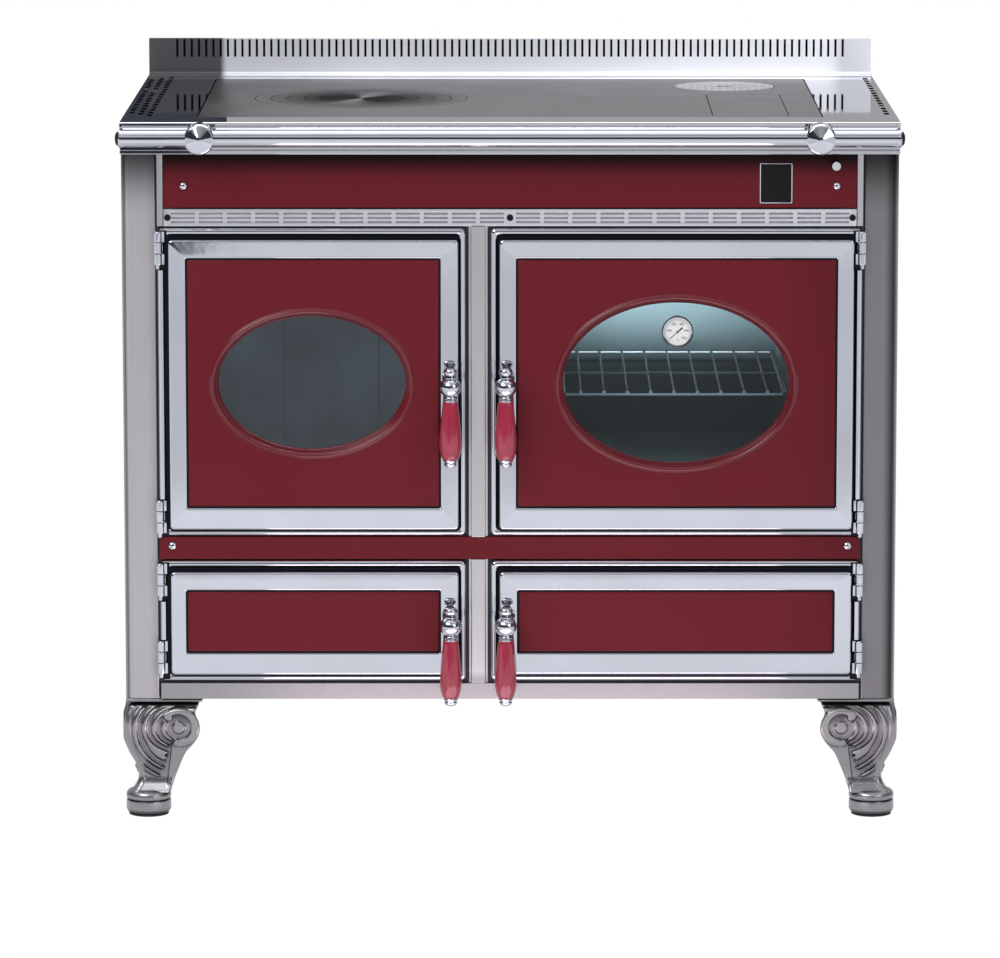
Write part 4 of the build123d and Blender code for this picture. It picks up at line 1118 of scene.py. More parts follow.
        # a grey for painted light seen through the grille's slots
        self.lining = Matt("Vent lining", (0.5, 0.5, 0.56), 0.5, 0.3).material(groups)
        self.rubber = Matt("Foot rubber", (0.02, 0.02, 0.02), 0.7).material(groups)
        # near black for painted shadow: in the door grooves, in the gaps round the panels and behind the
        # upstand's slots
        self.shade = Matt("Blackened seam", (0.008, 0.009, 0.014), 0.5, 0.0, 0.1).material(groups)
        self.badge = Matt("Black badge plate", (0.01, 0.009, 0.011), 0.3, 0.0, 0.12).material(groups)
        self.dial_white = Matt("Dial face", (0.75, 0.75, 0.74), 0.5).material(groups)
        self.dial_black = Matt("Dial print", (0.012, 0.012, 0.012), 0.5).material(groups)
        self.socket_black = Matt("Black screw", (0.012, 0.012, 0.015), 0.35, 0.0, 0.15).material(groups)


# ------------------------------------------------------------ assemblies


@dataclass
class Cabinet:
    """The body's sheet metal: sides, fascia, rails, grille and trims."""

    fascia_screws: tuple[Pair, ...] = ((-419.5, 828.0), (419.5, 828.0))
    rail_screws: tuple[Pair, ...] = ((-437.0, 360.0), (437.0, 360.0))
    grille_screws: tuple[Pair, ...] = ((-440.0, 787.0), (0.0, 787.0), (440.0, 787.0))
    badge_box: Box = (320.7, 362.2, 805.6, 857.2)
    fascia_proud: float = 3.0
    rail_proud: float = 5.0

    def build(self, shop: Shop, finishes: Finishes) -> None:
        """Dresses the sheet metal and adds its screws and the bare badge plate.

        Args:
            shop: hands over the pieces.
            finishes: the stove's finishes.
        """
        shop.dressed("side_panel_left", finishes.silver_left, 0.6)
        shop.dressed("side_panel_right", finishes.silver_right, 0.6)
        shop.dressed("base_frame", finishes.silver, 0.5)
        shop.dressed("front_trims", finishes.trim, 1.8, 3)
        shop.dressed("fascia_panel", finishes.fascia, 0.6)
        shop.dressed("middle_rail", finishes.burgundy, 0.6)
        shop.dressed("vent_grille", finishes.grille, 0.35, 2, False)
        # painted light: a grey sheet behind the grille's slots, so that they show grey where they would show
        # shade
        low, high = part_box("vent_grille")
        lining = block(
            "vent_lining", Vector((low[0] + 0.003, low[1] + 0.0026, low[2] + 0.002)),
            Vector((high[0] - 0.003, low[1] + 0.0034, high[2] - 0.002)), 0.1, 1,
        )
        shop.hand_over(lining, "root", finishes.lining)
        shop.paint("back_panel", finishes.silver)
        shop.paint("front_frame", finishes.dark_steel)
        for index, (x, z) in enumerate(self.fascia_screws):
            screw = self.dome_screw(f"fascia_screw_{index + 1}", x, z, self.fascia_proud, 5.0)
            shop.hand_over(screw, "root", finishes.chrome)
        for index, (x, z) in enumerate(self.rail_screws):
            screw = self.dome_screw(f"rail_screw_{index + 1}", x, z, self.rail_proud, 5.4)
            shop.hand_over(screw, "root", finishes.chrome)
        for index, (x, z) in enumerate(self.grille_screws):
            screw = self.socket_screw(f"grille_screw_{index + 1}", x, z)
            shop.hand_over(screw, "root", finishes.socket_black)
        self.badge(shop, finishes)

    def dome_screw(self, name: str, x: float, z: float, proud: float, radius: float) -> Piece:
        """A domed screw head standing on a sheet."""
        profile = [(radius, 0.0), (radius, 0.8), *[
            (radius * math.cos(math.radians(a)), 0.8 + 0.62 * radius * math.sin(math.radians(a)))
            for a in range(15, 91, 15)
        ]]
        return turned(name, profile, place(x, -proud, z), Axis.FORWARD, 24)

    def socket_screw(self, name: str, x: float, z: float) -> Piece:
        """A cap screw with a hexagonal socket."""
        profile = [(4.3, 0.0), (4.3, 1.4), (3.8, 2.0), (2.0, 2.0), (2.0, 0.9), (0.0, 0.9)]
        return turned(name, profile, place(x, -self.fascia_proud, z), Axis.FORWARD, 6 * 3)

    def badge(self, shop: Shop, finishes: Finishes) -> None:
        """The bare black plate with its thin frame."""
        left, right, low, high = self.badge_box
        front = -self.fascia_proud
        plate = block(
            "badge_plate", place(left + 0.6, front - 1.2, low + 0.6), place(right - 0.6, front, high - 0.6),
            0.3,
        )
        shop.hand_over(plate, "root", finishes.badge)
        rim = rectangle_sweep(
            "badge_rim", (left, right, low, high), 0.8,
            [(0.0, -front), (0.0, 4.5), (0.5, 4.9), (1.0, 4.5), (1.0, 3.0)], 3,
        )
        shop.hand_over(rim, "root", finishes.chrome)


def rectangle_ring(
    box: Box, inset: float, proud: float, corner: float, steps: int,
    less: Pair = (0.0, 0.0),
) -> Ring:
    """The points of a rounded rectangle parallel to the doors.

    Args:
        box: left, right, low and high edges in millimetres.
        inset: how far inside them the ring lies.
        proud: how far in front of the front plane it lies.
        corner: the corner radius of the ring.
        steps: pieces round each corner.
        less: how much less the ring is inset at the left and at the right than at the top and bottom.

    Returns:
        The ring's points.
    """
    left, right = box[0] + inset - less[0], box[1] - inset + less[1]
    low, high = box[2] + inset, box[3] - inset
    corner = max(corner, 0.02)
    corners = (
        (right - corner, high - corner, 0), (left + corner, high - corner, 90),
        (left + corner, low + corner, 180), (right - corner, low + corner, 270),
    )
    ring = []
    for x, z, start in corners:
        for point in arc((x, z), corner, start, start + 90, steps):
            ring.append(place(point[0], -proud, point[1]))
    return ring


def rectangle_sweep(name: str, box: Box, corner: float, profile: Profile, steps: int = 4) -> Piece:
    """A closed moulding swept round a rectangle.

    Args:
        name: the new object's name.
        box: left, right, low and high edges in millimetres.
        corner: the radius of the outer corners, which shrinks with the inset.
        profile: points of (inset from the edges, proud of the front plane), closed on itself.
        steps: pieces round each corner.

    Returns:
        The new object.
    """
    rings = [rectangle_ring(box, inset, proud, corner - inset, steps) for inset, proud in profile]
    return swept(name, rings)


@dataclass
class Worktop:
    """The stainless top, the upstand behind it and the hand rail in front."""

    rail_depth: float = -45.0
    rail_height: float = 893.0
    rail_radius: float = 11.0
    rail_half: float = 497.0
    bracket_x: float = 396.0
    bracket_radius: float = 20.0
    cheek: float = 18.0

    def build(self, shop: Shop, finishes: Finishes) -> None:
        """Dresses the top and the upstand and builds the rail.

        Args:
            shop: hands over the pieces.
            finishes: the stove's finishes.
        """
        shop.dressed("worktop", finishes.steel_across, 0.6, 2, False)
        shop.dressed("splashback", finishes.upstand, 0.3, 2, False)
        # painted shadow: a near-black sheet behind the upstand's slots
        low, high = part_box("splashback")
        slot_shadow = block(
            "splashback_liner", Vector((low[0] + 0.004, high[1] - 0.0034, low[2] + 0.004)),
            Vector((high[0] - 0.004, high[1] - 0.0024, high[2] - 0.0025)), 0.1, 1,
        )
        shop.hand_over(slot_shadow, "root", finishes.shade)
        rail = self.rail()
        shop.hand_over(rail, "root", finishes.chrome, ["hand_rail"])
        fittings = [
            self.bracket("rail_bracket_left", -self.bracket_x),
            self.bracket("rail_bracket_right", self.bracket_x),
        ]
        caps = [self.cap("rail_cap_left", Axis.LEFT), self.cap("rail_cap_right", Axis.RIGHT)]
        shop.hand_over(
            joined("rail_brackets", fittings), "root", finishes.chrome, ["rail_fittings"],
        )
        shop.hand_over(
            joined("rail_caps", caps), "root", finishes.socket_black, ["rail_fittings"],
        )
        rings = [self.end_ring("rail_ring_left", Axis.LEFT), self.end_ring("rail_ring_right", Axis.RIGHT)]
        shop.hand_over(joined("rail_end_rings", rings), "root", finishes.chrome)

    def rail(self) -> Piece:
        """The rail's bar."""
        half = self.rail_half
        profile = [(self.rail_radius - 0.6, -half), (self.rail_radius, -half + 0.6)]
        profile += [(self.rail_radius, half - 0.6), (self.rail_radius - 0.6, half)]
        return turned("rail_bar", profile, place(0.0, self.rail_depth, self.rail_height), Axis.RIGHT, 48)

    def end_ring(self, name: str, axis: Axis) -> Piece:
        """The bright ring round an end of the rail."""
        radius = self.rail_radius
        start = self.rail_half - 1.0
        profile = [
            (radius - 0.5, start), (radius + 0.9, start + 0.4), (radius + 1.0, start + 2.4),
            (radius - 0.2, start + 3.4),
        ]
        return turned(name, profile, place(0.0, self.rail_depth, self.rail_height), axis, 40)

    def cap(self, name: str, axis: Axis) -> Piece:
        """The dark domed plug in an end of the rail."""
        start = self.rail_half + 2.0
        profile = [
            (9.6, start - 0.6),
            *smooth_through([(9.6, start), (8.6, start + 2.4), (5.4, start + 4.3), (0.0, start + 5.0)]),
        ]
        return turned(name, profile, place(0.0, self.rail_depth, self.rail_height), axis, 36)

    def bracket(self, name: str, x: float) -> Piece:
        """A turned knob with flat cheeks that holds the rail, on its neck."""
        radius = self.bracket_radius
        profile = [
            (radius - 3.0, -15.0), (radius - 0.6, -14.0), (radius, -11.5), (radius, 11.0),
            *smooth_through([(radius - 0.4, 13.0), (radius - 1.6, 14.6), (radius - 3.0, 15.6)], 3),
            (radius - 4.2, 15.9), (4.5, 19.6), (3.0, 20.2), (0.0, 20.4),
        ]
        knob = turned(name, profile, place(x, self.rail_depth, self.rail_height), Axis.FORWARD, 56)
        with editing(knob):
            for side in (-1, 1):
                bpy.ops.mesh.select_all(action="SELECT")
                bpy.ops.mesh.bisect(
                    plane_co=place(x + side * self.cheek, 0, 0), plane_no=(side, 0, 0), use_fill=True,
                    clear_outer=True,
                )
        round_edges(knob, 0.7, 3, 50.0)
        neck = turned(name + "_neck", [(10.5, 6.0), (9.0, 9.0), (8.0, 12.0), (8.0, 24.0), (10.0, 31.0)],
                      place(x, self.rail_depth, self.rail_height), Axis.FORWARD, 32)
        neck.data.transform(
            Matrix.Translation(
                Vector((0, 2 * place(0, self.rail_depth, 0).y, 0)),
            ) @ Matrix.Diagonal((1, -1, 1, 1))
        )
        close_up(neck)
        soften(knob, 30.0)
        return joined(name, [knob, neck])


@dataclass
class Hob:
    """The ground iron plate, its lids and the polished cap."""

    def build(self, shop: Shop, finishes: Finishes) -> None:
        """Dresses the plate and the lids.

        Args:
            shop: hands over the pieces.
            finishes: the stove's finishes.
        """
        shop.dressed("hob_plate", finishes.hob, 0.8)
        for number in range(1, 5):
            shop.dressed(f"hob_ring_{number}", finishes.hob_round, 0.5)
        shop.dressed("hob_centre", finishes.hob_round, 0.5)
        shop.dressed("flue_cap", finishes.cap_round, 0.6)
        shop.dressed("soot_cover", finishes.hob, 0.6)


@dataclass
class Door:
    """One door: chromed frame, enamelled panel, glass, knuckles and handle."""

    name: str
    left: float
    right: float
    low: float
    high: float
    side: int
    hinge_heights: Pair
    window: Pair | None = None
    stiles: Pair = (34.0, 34.0)
    overlaps: Triple = (0.0, 4.5, 5.0)
    rail: float = 37.5
    corner: float = 6.5

    @property
    def box(self) -> Box:
        """The outline: left, right, low and high."""
        return (self.left, self.right, self.low, self.high)

    @property
    def middle(self) -> Pair:
        """The centre of the outline."""
        return ((self.left + self.right) / 2, (self.low + self.high) / 2)

    @property
    def pin_x(self) -> float:
        """The hinge pin's place across the stove."""
        return (self.left if self.side < 0 else self.right) - self.side * 0.5

    def build(self, shop: Shop, finishes: Finishes) -> None:
        """Builds the whole door.

        Args:
            shop: hands over the pieces.
            finishes: the stove's finishes.
        """
        body = f"{self.name}_door"
        shop.hand_over(self.frame(), body, finishes.chrome, [f"{self.name}_door_frame"])
        shop.hand_over(self.knuckles(), body, finishes.chrome, [f"{self.name}_door_frame"])
        # painted shadow: near-black strips in the frame's groove and up its wall, and in the gap round the
        # panel
        groove = [(9.3, 5.7), (9.3, 6.1), (13.6, 6.1), (13.6, 13.4), (14.2, 13.4), (14.2, 5.7)]
        seal = [(37.4, 12.0), (37.4, 15.4), (40.8, 15.4), (40.8, 12.0)]
        shop.hand_over(self.moulding("groove", groove, 0.5), body, finishes.shade)
        shop.hand_over(self.moulding("seal", seal, 0.5), body, finishes.shade)
        if self.window is None:
            shop.hand_over(
                self.plain_panel(), body, finishes.burgundy, [f"{self.name}_door_panel"],
            )
        else:
            shop.hand_over(
                self.glazed_panel(), body, finishes.burgundy, [f"{self.name}_door_panel"],
            )
            shop.hand_over(self.window_rim(), body, finishes.rim, [f"{self.name}_door_panel"])
            glass = finishes.oven_glass if self.name == "oven" else finishes.glass
            shop.paint(f"{self.name}_door_glass", glass)
            shop.paint(f"{self.name}_door_retainer", finishes.dark_steel)

    def ring(self, inset: float, proud: float, corner: float, steps: int) -> Ring:
        """A ring of the frame, whose stiles are narrower than its rails from the face inwards."""
        part = min(max((inset - 16.0) / 16.0, 0.0), 1.0)
        less = (part * (self.rail - self.stiles[0]), part * (self.rail - self.stiles[1]))
        spread = min(max((inset - 10.0) / 3.5, 0.0), 1.0) * min(max((36.0 - inset) / 18.0, 0.0), 1.0)
        left, right, low = (spread * reach for reach in self.overlaps)
        box = (self.left - left, self.right + right, self.low - low, self.high)
        radius = max(corner, 4.5 if inset < 30.0 else 2.6)
        return rectangle_ring(box, inset, proud, radius if inset > 8.0 else corner, steps, less)

    def moulding(self, name: str, profile: Profile, corner: float, steps: int = 3) -> Piece:
        """A closed moulding swept round the door.

        Args:
            name: the new object's name, after the door's.
            profile: points of (inset from the outline, proud of the front plane).
            corner: the radius of the outer corners, which shrinks with the inset.
            steps: pieces round each corner.

        Returns:
            The new object.
        """
        rings = [self.ring(inset, proud, corner - inset, steps) for inset, proud in profile]
        return swept(f"{self.name}_door_{name}", rings)

    def frame(self) -> Piece:
        """The moulded frame: half-round bead, groove, face with a rounded lip and the ledge for the panel."""
        bead = [(0.0, 1.5), (0.0, 5.0), *arc((4.5, 5.2), 4.5, 180, 8, 8)]
        groove = [(9.0, 6.2), (9.4, 5.6), (13.6, 5.6), (14.0, 6.2)]
        face = [
            (14.0, 13.4), (14.3, 15.2), (15.2, 16.4), (16.6, 16.9), (34.6, 17.0),
            *arc((36.0, 15.5), 1.5, 90, 0, 4),
        ]
        ledge = [(37.5, 11.9), (42.5, 11.9), (42.5, 1.5)]
        obj = self.moulding("casting", [*bead, *groove, *face, *ledge], self.corner, 4)
        for hinge_z in self.hinge_heights:
            for low, high in ((hinge_z - 29.0, hinge_z - 7.0), (hinge_z + 7.0, hinge_z + 23.0)):
                inner = self.pin_x - self.side * 11.5
                outer = self.pin_x + self.side * 12.0
                cutter = block(
                    "notch", place(min(inner, outer), -30.0, low), place(max(inner, outer), 10.0, high),
                    0.2, 1,
                )
                carve(obj, cutter)
        soften(obj, MOULDING_ANGLE)
        return obj

    def knuckles(self) -> Piece:
        """The door's own knuckle of each hinge."""
        pieces = []
        for index, hinge_z in enumerate(self.hinge_heights):
            profile = [
                (3.1, -7.0), (5.4, -7.0), (6.0, -6.4), (6.0, -4.6), (5.6, -4.2), (5.6, 4.2),
                (6.0, 4.6), (6.0, 6.4), (5.4, 7.0), (3.1, 7.0),
            ]
            piece = turned(
                f"{self.name}_knuckle_{index}", profile, place(self.pin_x, -9.0, hinge_z), Axis.UP, 28,
            )
            pieces.append(piece)
        return joined(f"{self.name}_door_knuckles", pieces)

    def plain_panel(self) -> Piece:
        """A pressed panel with rounded edges and no opening."""
        profile = [(39.9, 13.4), (39.9, 15.0), (40.3, 15.9), (41.5, 16.5)]
        rings = [self.ring(inset, proud, 1.5, 3) for inset, proud in profile]
        obj = ring_shell(f"{self.name}_door_skin", rings)
        soften(obj, MOULDING_ANGLE)
        return obj

    def window_ring(self, growth: float, proud: float, count: int) -> Ring:
        """The points of the glass opening grown by some millimetres, evenly turned about its centre."""
        half_width = self.window[0] / 2 + growth
        half_height = self.window[1] / 2 + growth
        angles = [2 * math.pi * step / count for step in range(count)]
        return [
            place(
                self.middle[0] + half_width * math.cos(a), -proud, self.middle[1] + half_height * math.sin(a),
            )
            for a in angles
        ]

    def glazed_panel(self) -> Piece:
        """A pressed panel whose window has a rolled rim."""
        count = 96
        outer = []
        left = self.left + self.stiles[0] + 2.4 - self.middle[0]
        right = self.right - self.stiles[1] - 2.4 - self.middle[0]
        half_height = (self.high - self.low) / 2 - self.rail - 2.4
        for step in range(count):
            angle = 2 * math.pi * step / count
            c, s = math.cos(angle), math.sin(angle)
            side = right if c > 0 else -left
            reach = min(side / max(abs(c), 1e-9), half_height / max(abs(s), 1e-9))
            outer.append((reach * c, reach * s))
        for x, z in ((right, half_height), (left, half_height), (left, -half_height), (right, -half_height)):
            near = min(range(count), key=lambda i: (outer[i][0] - x) ** 2 + (outer[i][1] - z) ** 2)
            outer[near] = (x, z)
        rings = []
        for inset, proud in ((0.0, 13.5), (0.0, 15.0), (0.4, 15.9), (1.6, 16.5)):
            rings.append([
                place(
                    self.middle[0] + x * (1 - inset / (right if x > 0 else -left)), -proud,
                    self.middle[1] + z * (1 - inset / half_height),
                )
                for x, z in outer
            ])
        rings += [self.window_ring(12.0, 16.5, count), self.window_ring(12.0, 13.5, count)]
        return swept(f"{self.name}_door_skin", rings)

    def window_rim(self) -> Piece:
        """The rolled rim round the window, down to the glass."""
        rim = [
            (12.0, 13.5), (12.0, 16.5), (11.3, 16.8), (10.6, 17.8), (9.4, 18.7), (8.0, 19.0), (6.4, 18.6),
            (5.0, 17.2), (3.9, 14.6), (2.6, 10.6), (1.0, 7.4), (0.0, 6.5), (3.0, 6.5), (3.0, 13.5),
        ]
        rings = [self.window_ring(growth, proud, 128) for growth, proud in rim]
        return swept(f"{self.name}_door_rim", rings)


@dataclass
class Handle:
    """A turned handle: knob on a ball, collar, lacquered grip and end cap, on its spindle."""

    door: Door
    offset: float = 19.5
    depth: float = -50.0
    steps: int = 40

    @property
    def x(self) -> float:
        """The handle's place across the stove."""
        free = self.door.right if self.door.side < 0 else self.door.left
        return free + self.door.side * self.offset

    def build(self, shop: Shop, finishes: Finishes) -> None:
        """Builds the fitting and the grip.

        Args:
            shop: hands over the pieces.
            finishes: the stove's finishes.
        """
        name = self.door.name
        body = f"{name}_door_handle"
        centre = place(self.x, self.depth, self.door.middle[1])
        shop.hand_over(self.fitting(centre), body, finishes.chrome, [f"{name}_handle"])
        shop.hand_over(self.grip(centre), body, finishes.grip, [f"{name}_grip"])

    def fitting(self, centre: Vector) -> Piece:
        """The chromed head, the cap under the grip, the spindle, its rosette and the latch tongue."""
        name = self.door.name
        head = turned(f"{name}_head", [
            (0.0, 25.3),
            *smooth_through(
                [(3.6, 25.2), (6.6, 24.3), (8.4, 22.2), (8.9, 19.6), (8.2, 16.8), (6.2, 14.4)], 3,
            ),
            (5.6, 13.4), (7.2, 12.4), (7.2, 11.2),
            *smooth_through(
                [(8.2, 10.4), (11.8, 7.4), (13.9, 2.6), (13.9, -2.6), (11.8, -7.4), (8.6, -10.6)], 4,
            ),
            (7.2, -11.4), (7.4, -12.2), (8.6, -12.6), (9.2, -13.6), (9.2, -15.0), (8.4, -15.8),
            (8.0, -16.8), (8.8, -17.4), (8.8, -18.5), (0.0, -18.5),
        ], centre, Axis.UP, self.steps)
        cap = turned(f"{name}_cap", [
            (0.0, -94.3), (9.0, -94.3), (9.4, -95.2), (9.0, -96.2), (7.0, -96.8),
            *smooth_through([(6.8, -97.4), (8.2, -99.2), (7.6, -101.6), (5.0, -103.6), (0.0, -104.5)], 3),
        ], centre, Axis.UP, self.steps)
        spindle = turned(f"{name}_spindle", [
            (6.0, -60.0), (6.0, -33.2), (10.0, -33.2), (10.0, -31.2), (8.8, -30.2), (6.8, -29.6),
            (5.6, -28.0), (5.2, -20.0), (5.6, -13.0), (8.0, -8.0),
        ], centre, Axis.FORWARD, 28)
        tongue = block(
            f"{name}_tongue", place(self.x - 6.0, 8.0, self.door.middle[1] - 6.0),
            place(self.x + 6.0, 13.0, self.door.middle[1] + 22.0), 1.0, 2,
        )
        return joined(f"{name}_handle_fitting", [head, cap, spindle, tongue])

    def grip(self, centre: Vector) -> Piece:
        """The swelling grip."""
        profile = [
            (0.0, -18.5), (8.6, -18.5), (9.4, -19.0), (9.7, -20.2),
            *smooth_through([
                (10.0, -21.0), (10.9, -30.0), (12.1, -42.0), (13.2, -54.0), (14.1, -66.0), (14.3, -74.0),
                (13.6, -82.0), (12.3, -88.0), (11.0, -92.0),
            ], 4),
            (9.6, -93.8), (8.8, -94.3), (0.0, -94.3),
        ]
        return turned(f"{self.door.name}_handle_grip", profile, centre, Axis.UP, self.steps)


@dataclass
class Hinges:
    """The fixed knuckles of the eight hinges, on their feet, with the pins' tails."""

    doors: Sequence[Door]

    def build(self, shop: Shop, finishes: Finishes) -> None:
        """Builds all the hinges as one piece.

        Args:
            shop: hands over the pieces.
            finishes: the stove's finishes.
        """
        pieces = []
        for door in self.doors:
            for index, hinge_z in enumerate(door.hinge_heights):
                pieces.extend(self.hinge(door, hinge_z, f"{door.name}_hinge_{index}"))
        shop.hand_over(joined("hinge_knuckles", pieces), "root", finishes.chrome, ["door_hinges"])

    def hinge(self, door: Door, hinge_z: float, name: str) -> list[Piece]:
        """The pieces of one hinge."""
        axis_point = place(door.pin_x, -9.0, hinge_z)
        upper = turned(name + "_upper", [
            (0.0, 7.5), (5.0, 7.5), (5.5, 8.1), (5.5, 19.4), (5.0, 20.6), (4.0, 21.4), (0.0, 21.5),
        ], axis_point, Axis.UP, 24)
        lower = turned(name + "_lower", [
            (0.0, -7.5), (5.0, -7.5), (5.5, -8.1), (5.5, -20.6), (5.0, -21.5), (3.0, -21.5), (2.9, -22.0),
            (2.9, -26.4), (2.2, -27.3), (0.0, -27.4),
        ], axis_point, Axis.UP, 24)
        foot_low = door.pin_x - door.side * 8.5
        foot_high = door.pin_x + door.side * 0.5
        feet = [
            block(
                f"{name}_foot_{index}", place(min(foot_low, foot_high), -9.0, hinge_z + low),
                place(max(foot_low, foot_high), 0.0, hinge_z + high), 0.7, 2,
            )
            for index, (low, high) in enumerate(((-21.5, -7.5), (7.5, 21.5)))
        ]
        return [upper, lower, *feet]


@dataclass
class Interior:
    """What shows behind the doors and under the hob."""

    def build(self, shop: Shop, finishes: Finishes) -> None:
        """Gives the inner parts their finishes.

        Args:
            shop: hands over the pieces.
            finishes: the stove's finishes.
        """
        for node in ("firebox_shell", "ash_box", "store_box", "flue_duct", "flue_spigot", "damper_flap"):
            shop.paint(node, finishes.dark_steel)
        for node in ("firebricks_left", "firebricks_right", "firebricks_back"):
            shop.dressed(node, finishes.brick, 1.2)
        shop.dressed("fire_grate", finishes.grate_iron, 1.0)
        shop.paint("oven_shell", finishes.oven_wall)
        shop.dressed("ash_pan", finishes.dark_steel, 0.4)
        self.rack(shop, finishes)
        shop.paint("damper_rod", finishes.chrome)

    def rack(self, shop: Shop, finishes: Finishes) -> None:
        """The oven rack: rods across and wire ends in near white as a painted highlight, wires from front to
        back in near black as painted shade.
        """
        low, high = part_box("oven_rack")
        middle = (low[0] + high[0]) / 2
        half = (high[0] - low[0]) / 2 / MM
        depth = (high[1] - low[1]) / MM
        rod, wire, pitch, count = 3.0, 2.5, 30.5, 9
        height = low[2] + rod * MM
        places = ((low[1] + rod * MM, 1.7), ((low[1] + high[1]) / 2, 1.3), (high[1] - rod * MM, 1.3))
        bright = []
        for index, (y, radius) in enumerate(places):
            ends = ((0.0, 1.0 - half), (radius, 1.0 - half), (radius, half - 1.0), (0.0, half - 1.0))
            bright.append(turned(f"rack_rod_{index}", ends, Vector((middle, y, height)), Axis.RIGHT, 12))
        unlit_wires = []
        for side in (-1, 1):
            unlit_wires.append(turned(
                f"rack_side_{side + 1}", [(0.0, -depth), (rod, -depth), (rod, 0.0), (0.0, 0.0)],
                Vector((middle + side * (half - rod) * MM, low[1], height)), Axis.FORWARD, 16,
            ))
        for index in range(count):
            x = middle + (index - (count - 1) / 2) * pitch * MM
            front = Vector((x, low[1], height + rod * MM))
            unlit_wires.append(turned(
                f"rack_wire_{index}",
                [(0.0, 1.5 - depth), (wire - 1.0, 1.5 - depth), (wire - 1.0, -2.0), (0.0, -2.0)],
                front, Axis.FORWARD, 12,
            ))
            bright.append(turned(
                f"rack_end_{index}",
                [(0.0, -4.0), (wire - 0.4, -3.4), (wire, -2.0), (1.8, -0.5), (0.0, -0.1)], front,
                Axis.FORWARD, 16,
            ))
        body = shop.body_of("oven_rack")
        shop.hand_over(joined("rack_rods", bright), body, finishes.wire_painted_lit, ["oven_rack"])
        shop.hand_over(joined("rack_wires", unlit_wires), body, finishes.wire_painted_dark, ["oven_rack"])


@dataclass
class DamperKnob:
    """The turned knob on the damper's pull rod."""

    x: float = 418.0
    z: float = 855.0

    def build(self, shop: Shop, finishes: Finishes) -> None:
        """Builds the knob, which covers the plain one."""
        profile = [
            (0.0, 3.6), (4.4, 3.6), (4.6, 4.4), (3.4, 5.4), (3.0, 7.6),
            *smooth_through([(3.2, 8.2), (5.4, 10.4), (6.2, 14.0), (5.4, 17.4), (3.2, 19.4), (0.0, 20.0)], 4),
        ]
        knob = turned("damper_knob", profile, place(self.x, 0.0, self.z), Axis.FORWARD, 32)
        shop.hand_over(knob, "damper_rod_body", finishes.chrome)


